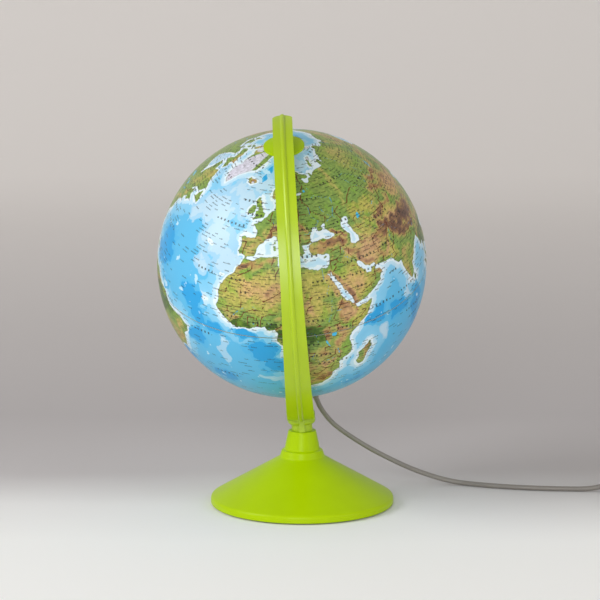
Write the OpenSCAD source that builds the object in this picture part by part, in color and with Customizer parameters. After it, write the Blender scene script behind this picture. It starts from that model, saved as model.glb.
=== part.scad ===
// Illuminated desktop globe: a printed ball on a leaning half meridian arm that plugs into a cone base.
// Millimetres, +Z up. The origin is the middle of the base's foot pad, on the table.
// The arm stands in the plane Y-Z; the north pole leans towards -Y and the lead leaves towards +X.

/* [Globe] */
// Outside diameter of the ball
globe_d = 260; // [240:1:280]
// Wall of the two moulded half shells
globe_wall = 1.5; // [1:0.1:3]
// Angle of the polar axis from the stem
axis_tilt = 23.5; // [20:0.5:26]
// Gap left at the equator joint between the half shells
seam_gap = 0.2; // [0.1:0.05:0.6]
// Width of the ring glued inside the equator joint
joint_ring_w = 16; // [10:1:24]
// Thickness of the ring glued inside the equator joint
joint_ring_t = 1.5; // [1:0.1:3]

/* [Poles] */
// Diameter of the disc on the north pole
cap_d = 38.5; // [30:0.5:44]
// Thickness of the disc on the north pole
cap_t = 2; // [1.4:0.1:3]
// Diameter of the disc's stem through the shell
cap_stem_d = 12; // [10:0.5:15]
// Diameter of the steel pin at the north pole
pin_d = 5; // [4:0.5:6]
// Length of the steel pin at the north pole
pin_l = 27; // [22:1:30]
// Diameter of the boss that holds the north pin
pin_boss_d = 15; // [11:0.5:18]
// Diameter of the journal that the south end turns on
journal_d = 30; // [28:0.5:34]
// Length of the journal
journal_l = 19; // [14:1:24]
// Outside diameter of the south bearing ring's sleeve
bearing_d = 38; // [36:0.5:42]
// Diameter of the south bearing ring's rim
bearing_rim_d = 46; // [44:0.5:56]
// Thickness of the south bearing ring's rim
bearing_rim_t = 1.8; // [1:0.1:2.4]

/* [Meridian arm] */
// Gap between the ball and the inner edge of the arm's web
arm_gap = 8.5; // [6:0.5:12]
// Depth of the web inside the flange
web_h = 10; // [6:0.5:14]
// Thickness of the web
web_t = 5; // [3:0.5:7]
// Thickness of the flange
flange_t = 3; // [2:0.1:4]
// Width of the flange from the top down to the middle of the ball
flange_w = 19.4; // [16:0.2:24]
// Width of the flange at the stem
flange_foot_w = 26.8; // [22:0.2:30]
// Width of the flange between the stem and the south pole
flange_tail_w = 22; // [18:0.2:25]
// Height of the rounded ridge along the outside of the flange
ridge_h = 1.8; // [1:0.1:3]
// Distance that the arm runs on past the north pole
arm_overrun = 24; // [14:1:34]
// Diameter of the boss under the arm
boss_d = 26.8; // [23:0.2:28]
// Height of the boss below the flange
boss_h = 6.6; // [4:0.2:8]
// Rounding of the boss's lower edge
boss_round = 3; // [2:0.1:5]
// Sideways lean of the arm in its socket
arm_lean = 3.5; // [0:0.1:4.5]
// Length of stem that shows between the boss and the socket
neck_show = 6.4; // [5:0.2:12]
// Diameter of the stem
stem_d = 20.4; // [18:0.2:21]
// Depth of the stem in its socket
stem_l = 44.8; // [35:0.2:46]

/* [Base] */
// Diameter of the base at its rim
base_d = 179; // [170:1:200]
// Height of the base to the top of its collar
base_h = 73; // [70:0.5:80]
// Slope of the base's cone from the table
cone_slope = 30; // [28:0.5:31]
// Height of the upright edge of the rim above the foot pad
rim_h = 4.3; // [3:0.1:6]
// Rounding between the upright edge and the cone
rim_round = 4; // [2:0.2:6]
// Wall of the base shell
base_wall = 2.6; // [2:0.1:3.5]
// Diameter of the stepped ring at the foot of the collar
step_d = 43.8; // [41:0.2:48]
// Diameter of the stepped ring at its top
step_top_d = 40.6; // [38.6:0.2:44]
// Height of the stepped ring
step_h = 7; // [5:0.5:9]
// Diameter of the collar where it meets the stepped ring
collar_foot_d = 34.4; // [32:0.2:37]
// Diameter of the collar at its top
collar_top_d = 27.4; // [26.6:0.2:30]
// Thickness of the foot pad
pad_t = 1.2; // [0.8:0.1:2]
// Diameter of the foot pad
pad_d = 166; // [150:1:168]
// Thickness of the bottom cover
cover_t = 2; // [1.5:0.1:2.2]
// Outside diameter of the iron ballast ring
ballast_d = 134; // [120:1:138]
// Bore of the iron ballast ring
ballast_bore = 60; // [50:1:70]
// Thickness of the iron ballast ring
ballast_t = 8; // [6:0.5:8.4]
// Number of stiffening ribs inside the base
rib_count = 6; // [4:1:8]
// Thickness of the stiffening ribs
rib_t = 2; // [1.5:0.1:3]

/* [Lamp] */
// Diameter of the cup that closes the arm's south end
cup_d = 35.2; // [35:0.2:38]
// Wall of that cup
cup_wall = 1.6; // [1.4:0.1:1.8]
// Height of the cup's open end past the web's inner edge
cup_h = 11; // [10:0.5:12]
// Thickness of the floor that carries the lampholder
hub_floor = 3; // [2.5:0.1:4]
// Diameter of the threaded tube that holds the lampholder
nipple_d = 10; // [9:0.5:10.5]
// Bore of the threaded tube
nipple_bore = 7; // [6:0.5:7.5]
// Diameter of the lampholder
holder_d = 26; // [24:0.2:26.2]
// Length of the lampholder
holder_l = 54; // [50:1:60]
// Diameter of the tubular bulb, which has to pass through the journal
bulb_d = 26; // [20:1:26]
// Length of the bulb's glass
bulb_l = 36; // [28:1:44]

/* [Lead] */
// Diameter of the round lead
cord_d = 5; // [4.6:0.1:5]
// Angle between the lead's outlet and the polar axis
outlet_angle = 20; // [19:0.5:21]
// Distance of the lead's outlet from the polar axis
outlet_side = 11.6; // [11.4:0.1:12]
// Length of the tapered strain relief
relief_l = 20; // [19.5:0.5:20.5]
// Diameter of the strain relief at the hub
relief_d = 7; // [6.8:0.1:7.2]
// Width of the switch on the lead
switch_w = 26; // [24:0.5:30]
// Length of the switch on the lead
switch_l = 60; // [60:1:60]
// Height of the switch on the lead
switch_h = 18; // [17:0.5:18.5]
// Travel of the switch's rocker to each side
rocker_swing = 8; // [5:0.5:9]

/* [Fits] */
// Radial clearance where one piece turns on another
run_fit = 0.05; // [0.02:0.01:0.1]
// Radial clearance where one piece is seated in another
seat_fit = 0.02; // [0.01:0.01:0.05]
// Gap along the axis between turning faces
end_play = 0.3; // [0.2:0.05:0.6]

/* [Hidden] */
$fn = 96;
cut = 1;           // how far a cutting shape runs past what it cuts
lime = "#A8CC00";
cord_grey = "#8C8C86";

globe_r = globe_d / 2;
shell_r = globe_r - globe_wall;

// Radii of the arm about the ball's middle
web_r = globe_r + arm_gap;
flange_in_r = web_r + web_h;
flange_r = flange_in_r + flange_t;
ridge_r = flange_r + ridge_h;
ridge_half = 2.3;
boss_low = flange_r + boss_h;
globe_rise = boss_low + neck_show;
arm_top_w = flange_w - 0.8;
arm_end_r = flange_w / 2 + 0.1;
arm_end_angle = (arm_overrun - arm_end_r) / flange_r * 180 / PI;
south = 180 + axis_tilt;

// Places along the polar axis
cap_top = globe_r + cap_t;
boss_face = cap_top + end_play;
cap_stem_in = 8;
clip_w = 3;
clip_t = 1.2;
bearing_in = 12;
bearing_lip = 2.4;
pin_top = flange_in_r - 2.1;
bearing_face = globe_r + bearing_rim_t + 0.9;
hub_face = bearing_face + end_play;
hub_out = hub_face + hub_floor;
cup_end = web_r + cup_h;
cover_in = cup_end - 2.5;
nut_h = 3.5;
nut_wall = 3;
nipple_in = 12;
holder_bore_r = 8.3;
holder_shell_t = 1;
holder_wire_r = 2.5;
contact_r = 3;
bulb_foot_r = 7;
bulb_neck_l = 8;
bulb_end_r = 4;
glass_t = 1;
holder_end = hub_face - holder_l;
socket_floor = holder_end + 29;
contact_end = socket_floor - 3;
cap_end = contact_end - 0.4;
bulb_foot = holder_end - 0.5;
bulb_top = bulb_foot - bulb_l;

// The base
pad_r = pad_d / 2;
rim_r = base_d / 2;
rim_top = pad_t + rim_h;
cone_foot_r = rim_r - rim_round + rim_round * sin(cone_slope);
cone_foot_z = rim_top + rim_round * cos(cone_slope);
cone_top_z = cone_foot_z + (cone_foot_r - step_d / 2) * tan(cone_slope);
shoulder_z = cone_top_z + step_h;
wall_drop = base_wall / cos(cone_slope);
cover_top = pad_t + cover_t;
ballast_low = cover_top + 1.6;
ballast_top = ballast_low + ballast_t;
rim_inner_r = rim_r - base_wall;
socket_wall = 3.2;
socket_floor_t = 3.5;
socket_r = stem_d / 2 + run_fit;
key_w = web_t + 0.2;
key_front = stem_d / 2 + 1.8;
key_depth = 14;
rib_front = boss_d / 2 + 0.6;
rib_gap = 0.3;
key_fit = 0.1;
socket_play = 0.2;
socket_depth = stem_l + socket_play;
socket_l = socket_depth + socket_floor_t;
socket_wall_from = 20;
screw_well = 14;
pillar_r = 52;
pillar_d = 9;
arm_screw_r = 2.5;
arm_screw_l = 20;
arm_head_r = 4.5;
arm_head_h = 3;
arm_hex_r = 2;
arm_hex_depth = 1.6;
arm_hole_l = 18;
washer_r = 7.5;
washer_t = 1.2;
ballast_screw_r = 1.75;
ballast_screw_bite = 8;
ballast_head_r = 3.5;
ballast_head_h = 1.2;
screw_hole_spare = 1;

// The strain relief, from its inner end to its tip, about the cup's end
relief_tip = 10.5;
relief_tip_r = cord_d / 2 + 0.4;

// The lead's route: points chosen by hand, from inside the strain relief to the switch
run_points = [
    [6.2, 56.1, 109], [9.9, 59.6, 101.1], [14, 63.5, 92.3], [17.1, 66.5, 83.6], [20.6, 68.7, 77.4],
    [25, 70.4, 71.1], [30.5, 71.6, 64.7], [38, 72.8, 58], [48, 74, 50.8], [59, 74.7, 43.4], [71, 75, 36.1],
    [84, 75, 29.3], [97, 75, 22.7], [110, 75, 16.8], [122, 75, 12.1], [134, 74.5, 8.2], [146, 73.6, 5],
    [158, 72, 3], [168, 69, 2.5], [179, 64.2, 2.5], [190, 60.2, 2.5], [202, 56.5, 2.5], [216, 53, 2.5],
    [230, 50.2, 2.5], [245, 48.1, 2.5], [260, 46.6, 2.5], [274, 45.6, 2.5], [286, 45.1, 2.8],
    [296, 45, 4.3], [305, 45, 7], [314, 45, 9]
];
lead_points = [[374, 45, 9], [385, 45, 7.2], [396, 45, 4.7], [407, 45, 3.5], [418, 45, 3.3], [425, 45, 3.3]];
tail_points = [
    [425, -20, 13.3], [414, -20, 13.4], [403, -20, 13.2], [394, -20.2, 11.2], [385, -20.8, 8.4],
    [378, -21.3, 7.1], [370, -21.5, 6.9]
];
cord_sides = 10;

// The coil of spare lead: two layers of three turns, and half a turn on top
coil_at = [425, 10];
coil_mid_r = 30;
tie_t = 0.8;
coil_low = tie_t;
coil_w = 3 * 5 + 0.2;
coil_h = 10;
tie_w = 5;
tie_room = 15.2;

// The switch and the plug on the lead
switch_at = [344, 45];
switch_split = switch_h / 2;
plug_at = [322, -21.5];
plug_l = 36;
plug_w = 35.3;
plug_h = 13.8;
pin_gap = 18.6;
pin_r = 2;
pin_out = 18;

// ---------- frames ----------

module arm_frame() translate([0, 0, base_h]) rotate([0, -arm_lean, 0]) children();

module globe_frame() arm_frame() translate([0, 0, globe_rise]) children();

module polar_frame() globe_frame() rotate([axis_tilt, 0, 0]) children();

// Places children with their +Z along the polar axis, towards the south, from the ball's middle
module south_frame() polar_frame() rotate([180, 0, 0]) children();

// Places children with their +Z along the lead's outlet, from the cup's end
module outlet_frame() south_frame() translate([outlet_side, 0, cup_end]) rotate([0, outlet_angle, 0]) children();

// ---------- shared shapes ----------

// A tube or disc from z = low to z = high
module tube(outer_r, inner_r, low, high) {
    difference() {
        translate([0, 0, low]) cylinder(r = outer_r, h = high - low);
        if (inner_r > 0) translate([0, 0, low - cut]) cylinder(r = inner_r, h = high - low + 2 * cut);
    }
}

// Part of a ring in the arm's plane. Angles run from straight up towards -Y
module arm_sector(from_angle, to_angle) {
    rotate([180, -90, 0]) rotate([0, 0, from_angle])
        rotate_extrude(angle = to_angle - from_angle) children();
}

// Turns +Z to the direction that an angle in the arm's plane points in
module along_arm(angle) rotate([angle, 0, 0]) children();

// A rectangle with rounded corners, built from true arcs
module round_rect(l, w, r) {
    square([l - 2 * r, w], center = true);
    square([l, w - 2 * r], center = true);
    for (x = [-1, 1], y = [-1, 1]) translate([x * (l / 2 - r), y * (w / 2 - r)]) circle(r);
}

// ---------- the base ----------

function arc_points(centre, r, from_angle, to_angle, steps) = [
    for (i = [0 : steps])
        let (a = from_angle + (to_angle - from_angle) * i / steps)
            [centre[0] + r * cos(a), centre[1] + r * sin(a)]
];

module base_outline() {
    fillet = 3;
    shoulder_round = 1.6;
    lip = 1.2;
    collar_r = collar_foot_d / 2;
    polygon(concat(
        [[0, pad_t], [rim_r - 0.8, pad_t], [rim_r, pad_t + 0.8]],
        arc_points([rim_r - rim_round, rim_top], rim_round, 0, 90 - cone_slope, 6),
        arc_points(
            [step_d / 2 + fillet * 0.88, cone_top_z + fillet * 0.66], fillet, 270 - cone_slope - 4, 186, 5),
        arc_points(
            [step_top_d / 2 - shoulder_round, shoulder_z - shoulder_round], shoulder_round, 8, 78, 4),
        [[collar_r + 0.6, shoulder_z + 0.3], [collar_r, shoulder_z + 1]],
        arc_points([collar_top_d / 2 - lip, base_h - lip], lip, 12, 90, 4),
        [[0, base_h]]
    ));
}

module base_hollow() {
    inner_foot_z = cone_foot_z - wall_drop + (cone_foot_r - (rim_inner_r - 1.4)) * tan(cone_slope);
    top_r = step_d / 2 + 1.5;
    top_z = cone_foot_z + (cone_foot_r - top_r) * tan(cone_slope) - wall_drop;
    rotate_extrude() polygon([
        [0, -cut], [rim_inner_r, -cut], [rim_inner_r, inner_foot_z - 1.4], [rim_inner_r - 1.4, inner_foot_z],
        [top_r, top_z], [0, top_z]
    ]);
}

module base_ribs() {
    foot_r = rim_inner_r - 16;
    foot_z = cone_foot_z + (cone_foot_r - foot_r) * tan(cone_slope) - wall_drop + 1;
    top_r = step_d / 2;
    for (i = [0 : rib_count - 1])
        rotate([90, 0, i * 360 / rib_count]) linear_extrude(rib_t, center = true)
            polygon([
                [8, ballast_top + 0.4], [foot_r, ballast_top + 0.4], [foot_r, foot_z],
                [top_r, cone_top_z - 1], [8, cone_top_z - 1]
            ]);
}

module ballast_pillars() {
    top = cone_foot_z + (cone_foot_r - pillar_r) * tan(cone_slope) - wall_drop + 0.5;
    for (i = [0 : 2]) rotate([0, 0, 30 + 120 * i]) translate([pillar_r, 0, ballast_top])
        cylinder(d = pillar_d, h = top - ballast_top);
}

module base_shell() color(lime) {
    difference() {
        union() {
            difference() {
                rotate_extrude() base_outline();
                base_hollow();
            }
            base_ribs();
            ballast_pillars();
            arm_frame() translate([0, 0, -socket_l]) cylinder(r = socket_r + socket_wall, h = socket_l - socket_wall_from);
        }
        arm_frame() {
            translate([0, 0, -socket_depth]) cylinder(r = socket_r, h = socket_depth + cut);
            translate([-key_w / 2 - key_fit, -key_front - key_fit, -key_depth - 0.5])
                cube([key_w + 2 * key_fit, key_front + key_fit, key_depth + 0.5 + cut]);
            translate([0, 0, -socket_l - cut]) cylinder(r = arm_screw_r + 0.3, h = socket_l);
            translate([0, 0, -socket_l - screw_well]) cylinder(r = socket_r + 2.4, h = screw_well);
        }
        for (i = [0 : 2]) rotate([0, 0, 30 + 120 * i]) translate([pillar_r, 0, ballast_top - cut])
            cylinder(r = ballast_screw_r + 0.01, h = ballast_screw_bite + screw_hole_spare + cut);
    }
}

module base_ballast() color("#4A4A4C") difference() {
    tube(ballast_d / 2, ballast_bore / 2, ballast_low, ballast_top);
    for (i = [0 : 2]) rotate([0, 0, 30 + 120 * i]) translate([pillar_r, 0, ballast_low - cut])
        cylinder(r = ballast_screw_r + 0.2, h = ballast_t + 2 * cut);
}

module ballast_screws() color("#B9BBBE")
    for (i = [0 : 2]) rotate([0, 0, 30 + 120 * i]) translate([pillar_r, 0, ballast_low]) {
        translate([0, 0, -ballast_head_h]) cylinder(r = ballast_head_r, h = ballast_head_h);
        cylinder(r = ballast_screw_r, h = ballast_t + ballast_screw_bite);
    }

module base_cover() color("#5E5E60") tube(rim_inner_r - 0.1, 0, pad_t, cover_top);

module base_pad() color("#2A2A2C") tube(pad_r, 0, 0, pad_t);

module arm_washer() color("#B9BBBE") arm_frame()
    translate([0, 0, -socket_l]) tube(washer_r, arm_screw_r + 0.2, -washer_t, 0);

module arm_screw() color("#B9BBBE") arm_frame()
    translate([0, 0, -socket_l - washer_t]) {
        difference() {
            translate([0, 0, -arm_head_h]) cylinder(r = arm_head_r, h = arm_head_h);
            translate([0, 0, -arm_head_h - cut]) cylinder(r = arm_hex_r, h = arm_hex_depth + cut, $fn = 6);
        }
        cylinder(r = arm_screw_r, h = arm_screw_l);
    }

// ---------- the meridian arm ----------

// Outline that tapers the flange, seen along Y
module flange_outline() {
    low = -boss_low - 20;
    foot_half = flange_foot_w / 2;
    rotate([90, 0, 0]) linear_extrude(4 * globe_r, center = true) polygon([
        [-arm_top_w / 2, ridge_r + 4], [arm_top_w / 2, ridge_r + 4], [flange_w / 2, 0],
        [foot_half, -flange_r], [foot_half, low], [-foot_half, low], [-foot_half, -flange_r],
        [-flange_w / 2, 0]
    ]);
}

module flange() difference() {
    intersection() {
        union() {
            arm_sector(axis_tilt - arm_end_angle - 6, 180)
                translate([flange_in_r, -flange_w]) square([flange_t, 2 * flange_w]);
            arm_sector(180, south)
                translate([flange_in_r, -flange_tail_w / 2]) square([flange_t, flange_tail_w]);
        }
        flange_outline();
    }
    // Rounds the end past the north pole
    along_arm(axis_tilt - arm_end_angle) translate([0, 0, web_r]) linear_extrude(2 * flange_w) difference() {
        translate([-2 * flange_w, 0]) square([4 * flange_w, 2 * flange_w]);
        polygon(concat([[arm_end_r, -cut]], arc_points([0, 0], arm_end_r, 0, 180, 15), [[-arm_end_r, -cut]]));
    }
}

module web() {
    arm_sector(axis_tilt - arm_end_angle - 1, south - 3)
        translate([web_r, -web_t / 2]) square([web_h + flange_t / 2, web_t]);
    ridge = [
        [flange_r - 1.2, -ridge_half - 0.5], [flange_r + 0.25 * ridge_h, -ridge_half],
        [flange_r + 0.7 * ridge_h, -0.68 * ridge_half], [ridge_r, -0.25 * ridge_half],
        [ridge_r, 0.25 * ridge_half], [flange_r + 0.7 * ridge_h, 0.68 * ridge_half],
        [flange_r + 0.25 * ridge_h, ridge_half], [flange_r - 1.2, ridge_half + 0.5]
    ];
    arm_sector(axis_tilt - arm_end_angle - 3, 178) polygon(ridge);
    arm_sector(182, south - 3) polygon(ridge);
}

// The boss and the stem that plugs into the base, with its key
module stem() {
    inner = boss_d / 2 - boss_round;
    translate([0, 0, -boss_low]) {
        cylinder(r = inner, h = boss_round);
        translate([0, 0, boss_round]) rotate_extrude() translate([inner, 0]) circle(boss_round);
        translate([0, 0, boss_round]) cylinder(r = boss_d / 2, h = boss_h + flange_t - boss_round + 1.5);
    }
    difference() {
        translate([0, 0, -globe_rise - stem_l]) cylinder(r = stem_d / 2, h = stem_l + neck_show + 2);
        translate([0, 0, -globe_rise - stem_l - cut]) cylinder(r = arm_screw_r + 0.01, h = arm_hole_l + cut);
    }
    translate([-key_w / 2, -key_front, -globe_rise - key_depth])
        cube([key_w, key_front, key_depth + neck_show + boss_h]);
    // The rib that carries the ridge on, down to the collar
    translate([-key_w / 2, -rib_front, -globe_rise + rib_gap])
        cube([key_w, rib_front, neck_show + boss_h + flange_t / 2 - rib_gap]);
}

module south_hub() rotate([axis_tilt + 180, 0, 0]) {
    tube(journal_d / 2, holder_d / 2 + 0.2, hub_face - journal_l, hub_face + 0.5);
    tube(cup_d / 2, nipple_d / 2 + 0.05, hub_face, hub_out);
    difference() {
        tube(cup_d / 2, cup_d / 2 - cup_wall, hub_out - 0.5, cup_end);
        // The seat of the cover
        tube(cup_d / 2 - cup_wall / 2, 0, cover_in, cup_end + cut);
    }
}

module meridian_arm() color(lime) globe_frame() difference() {
    union() {
        difference() {
            union() {
                flange();
                web();
            }
            // Room for the cup and its cover at the south end
            rotate([axis_tilt + 180, 0, 0]) tube(cup_d / 2 - 0.4, 0, web_r - 10, ridge_r + 10);
        }
        stem();
        south_hub();
        rotate([axis_tilt, 0, 0]) tube(pin_boss_d / 2, 0, boss_face, flange_in_r + 1);
    }
    rotate([axis_tilt, 0, 0])
        translate([0, 0, boss_face - cut]) cylinder(r = pin_d / 2 + seat_fit, h = pin_top - boss_face + cut);
    rotate([axis_tilt + 180, 0, 0]) tube(nipple_d / 2 + 0.05, 0, hub_face - cut, hub_out + cut);
}

// ---------- the ball and its poles ----------

module north_pivot_pin() color("#C4C6C9") polar_frame()
    translate([0, 0, pin_top - pin_l]) cylinder(d = pin_d, h = pin_l);

module half_shell() difference() {
    sphere(globe_r, $fn = 160);
    sphere(shell_r, $fn = 160);
    translate([-globe_d, -globe_d, -2 * globe_d + seam_gap / 2]) cube(2 * globe_d);
}

module north_hemisphere() color("#7FC4DA") polar_frame() difference() {
    half_shell();
    cylinder(d = cap_stem_d + 2 * seat_fit, h = globe_d);
}

module south_hemisphere() color("#6AB8D4") south_frame() difference() {
    half_shell();
    cylinder(d = bearing_d + 2 * seat_fit, h = globe_d);
}

module equator_ring() color("#E8E6DE") polar_frame() {
    half = joint_ring_w / 2;
    outer = sqrt(shell_r * shell_r - half * half) - seat_fit;
    tube(outer, outer - joint_ring_t, -half, half);
}

// A disc of the sphere's own curve that lies on the shell
module pole_disc(disc_d, disc_t) intersection() {
    difference() {
        sphere(globe_r + disc_t, $fn = 160);
        sphere(globe_r + seat_fit, $fn = 160);
    }
    cylinder(d = disc_d, h = globe_d);
}

module north_cap() color(lime) polar_frame() difference() {
    union() {
        pole_disc(cap_d, cap_t);
        tube(cap_stem_d / 2, 0, shell_r - cap_stem_in, globe_r + cap_t / 2);
    }
    translate([0, 0, shell_r - cap_stem_in - cut]) cylinder(d = pin_d + 2 * run_fit, h = globe_r);
}

module north_retaining_ring() color("#9EA0A3") polar_frame() {
    outer = cap_stem_d / 2 + clip_w;
    seat = sqrt(shell_r * shell_r - outer * outer) - seat_fit;
    tube(outer, cap_stem_d / 2 + seat_fit, seat - clip_t, seat);
}

module south_bearing_ring() color("#E8E6DE") south_frame() difference() {
    union() {
        pole_disc(bearing_rim_d, bearing_rim_t);
        tube(bearing_d / 2, 0, shell_r - bearing_in, globe_r);
        tube(journal_d / 2 + bearing_lip, 0, globe_r - 4, bearing_face);
    }
    cylinder(d = journal_d + 2 * run_fit, h = globe_d);
}

// ---------- the lamp ----------

module hub_cover() color(lime) difference() {
    south_frame() tube(cup_d / 2 - cup_wall / 2 - seat_fit, 0, cover_in, cup_end);
    outlet_frame() cylinder(d = relief_d + 2 * seat_fit, h = 40, center = true);
}

module lamp_nipple() color("#C9B26A") south_frame()
    tube(nipple_d / 2, nipple_bore / 2, hub_face - nipple_in, hub_out + nut_h + 0.5);

module lamp_nut() color("#C9B26A") south_frame() difference() {
    translate([0, 0, hub_out]) cylinder(r = nipple_d / 2 + nut_wall, h = nut_h, $fn = 6);
    cylinder(r = nipple_d / 2 + seat_fit, h = globe_d);
}

module lampholder_body() color("#EFEBDD") south_frame() difference() {
    translate([0, 0, holder_end]) cylinder(d = holder_d, h = holder_l);
    translate([0, 0, holder_end - cut]) cylinder(r = holder_bore_r, h = socket_floor - holder_end + cut);
    translate([0, 0, socket_floor - cut]) cylinder(r = holder_wire_r, h = holder_l);
    translate([0, 0, hub_face - nipple_in - 0.5]) cylinder(r = nipple_d / 2 + seat_fit, h = 20);
}

module lampholder_shell() color("#C9A94E") south_frame()
    tube(holder_bore_r - seat_fit, holder_bore_r - holder_shell_t, holder_end + 2, contact_end);

module lampholder_contact() color("#C9A94E") south_frame() tube(contact_r, 0, contact_end, socket_floor);

module bulb_cap() color("#C8CACC") south_frame() {
    tube(bulb_foot_r, 0, bulb_foot, cap_end - 3);
    tube(contact_r, 0, cap_end - 3, cap_end);
}

// The glass envelope's outline, grown by a margin
module bulb_outline(grow) {
    side = bulb_d / 2 - bulb_end_r;
    neck = bulb_foot - bulb_neck_l - 0.1;
    translate([0, bulb_top + bulb_end_r]) square([bulb_d / 2 + grow, bulb_l - bulb_end_r - bulb_neck_l]);
    translate([0, bulb_top - grow]) square([side, bulb_end_r + 1]);
    translate([side, bulb_top + bulb_end_r]) circle(bulb_end_r + grow);
    polygon([
        [0, neck], [bulb_d / 2 + grow, neck], [bulb_foot_r - 0.1 + grow, bulb_foot], [0, bulb_foot]
    ]);
}

module bulb_glass() color("#F4F1E6") south_frame() rotate_extrude() difference() {
    bulb_outline(0);
    bulb_outline(-glass_t);
}

// ---------- the lead ----------

module strain_relief() color(cord_grey) outlet_frame() {
    inner = relief_tip - relief_l;
    rotate_extrude() polygon([
        [cord_d / 2, inner], [relief_d / 2, inner], [relief_d / 2, 2],
        [relief_tip_r + 0.1, relief_tip - 2], [relief_tip_r, relief_tip - 0.3],
        [relief_tip_r - 0.2, relief_tip], [cord_d / 2, relief_tip]
    ]);
}

function unit(v) = v / norm(v);

// Direction of the route at point i
function heading(points, i) =
    unit(points[min(i + 1, len(points) - 1)] - points[max(i - 1, 0)]);

function ring_at(points, i) =
    let (
        ahead = heading(points, i),
        side = unit(cross(ahead, [0, 0, 1])),
        over = cross(side, ahead)
    )
    [
        for (k = [0 : cord_sides - 1])
            points[i] + cord_d / 2 * (cos(k * 360 / cord_sides) * side + sin(k * 360 / cord_sides) * over)
    ];

// A tube along a list of points
module swept_cord(points) {
    n = cord_sides;
    last = (len(points) - 1) * n;
    rings = [for (i = [0 : len(points) - 1]) each ring_at(points, i)];
    walls = [
        for (i = [0 : len(points) - 2], k = [0 : n - 1])
            [i * n + k, i * n + (k + 1) % n, (i + 1) * n + (k + 1) % n, (i + 1) * n + k]
    ];
    polyhedron(rings, concat([[for (k = [n - 1 : -1 : 0]) k]], walls, [[for (k = [0 : n - 1]) last + k]]));
}

module cord_run() color(cord_grey) swept_cord(run_points);

module cord_lead() color(cord_grey) swept_cord(lead_points);

module cord_tail() color(cord_grey) swept_cord(tail_points);

module cord_coil() color(cord_grey) translate([coil_at[0], coil_at[1], coil_low]) {
    tube(coil_mid_r + coil_w / 2, coil_mid_r - coil_w / 2, 0, coil_h);
    rotate([0, 0, -90]) rotate_extrude(angle = 180)
        translate([coil_mid_r - cord_d / 2, coil_h - 0.01]) square([cord_d, cord_d]);
}

// A thin strap round the bundle
module cord_tie() color("#2E2E2E") translate([coil_at[0] + coil_mid_r, coil_at[1], 0]) {
    inner_w = coil_w + 1.2;
    difference() {
        translate([-inner_w / 2 - tie_t, -tie_w / 2, 0]) cube([inner_w + 2 * tie_t, tie_w, tie_room + 2 * tie_t]);
        translate([-inner_w / 2, -tie_w / 2 - cut, tie_t]) cube([inner_w, tie_w + 2 * cut, tie_room]);
    }
}

// ---------- the switch ----------

pivot_z = switch_h * 0.75;
pivot_r = 1.5;
pivot_out = 1.5;
rocker_half = 8.2;
rocker_w = 12.6;
window_l = 2 * rocker_half + 1.9;
window_w = rocker_w + 0.6;
case_round = 7;
case_wall = 2;
cavity = [34, 19];
screw_spots = [[-22, 8], [22, -8]];
case_screw_r = 1.25;
case_head_r = 2.5;
case_head_h = 1.6;
case_head_low = 0.6;
case_screw_l = 13.5;

module switch_half(low, high) difference() {
    translate([0, 0, low]) linear_extrude(high - low) round_rect(switch_l, switch_w, case_round);
    translate([-cavity[0] / 2, -cavity[1] / 2, case_wall]) cube([cavity[0], cavity[1], switch_h - 2 * case_wall]);
    rotate([0, 90, 0]) translate([-switch_split, 0, -switch_l]) cylinder(r = cord_d / 2 + 0.1, h = 2 * switch_l);
}

module switch_case_lower() color(cord_grey) translate([switch_at[0], switch_at[1], 0]) difference() {
    switch_half(0, switch_split);
    for (p = screw_spots) translate([p[0], p[1], -cut]) {
        cylinder(r = case_screw_r + 0.15, h = switch_h);
        cylinder(r = case_head_r + 0.1, h = cut + case_head_low + case_head_h);
    }
}

module switch_case_upper() color(cord_grey) translate([switch_at[0], switch_at[1], 0]) difference() {
    switch_half(switch_split, switch_h);
    translate([-window_l / 2, -window_w / 2, switch_split]) cube([window_l, window_w, switch_h]);
    translate([0, 0, pivot_z]) rotate([90, 0, 0])
        cylinder(r = pivot_r + run_fit, h = rocker_w + 2 * (pivot_out + 0.1 + run_fit), center = true);
    for (p = screw_spots) translate([p[0], p[1], switch_split - cut])
        cylinder(r = case_screw_r + 0.01, h = case_head_low + case_screw_l - switch_split + 1.4 + cut);
}

module switch_screws() color("#B9BBBE") translate([switch_at[0], switch_at[1], 0])
    for (p = screw_spots) translate([p[0], p[1], case_head_low]) {
        cylinder(r = case_head_r, h = case_head_h);
        cylinder(r = case_screw_r, h = case_screw_l);
    }

// At rest the rocker is down on its off side
module switch_rocker() color("#3A3A3A")
    translate([switch_at[0], switch_at[1], pivot_z]) rotate([0, -rocker_swing, 0]) {
        rotate([90, 0, 0]) linear_extrude(rocker_w, center = true) polygon([
            [-rocker_half, 6.2], [0, 5], [rocker_half, 6.2], [rocker_half + 0.2, 0], [5, -4.5], [-5, -4.5],
            [-rocker_half - 0.2, 0]
        ]);
        rotate([90, 0, 0]) cylinder(r = pivot_r, h = rocker_w + 2 * pivot_out, center = true);
    }

// ---------- the plug ----------

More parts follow.
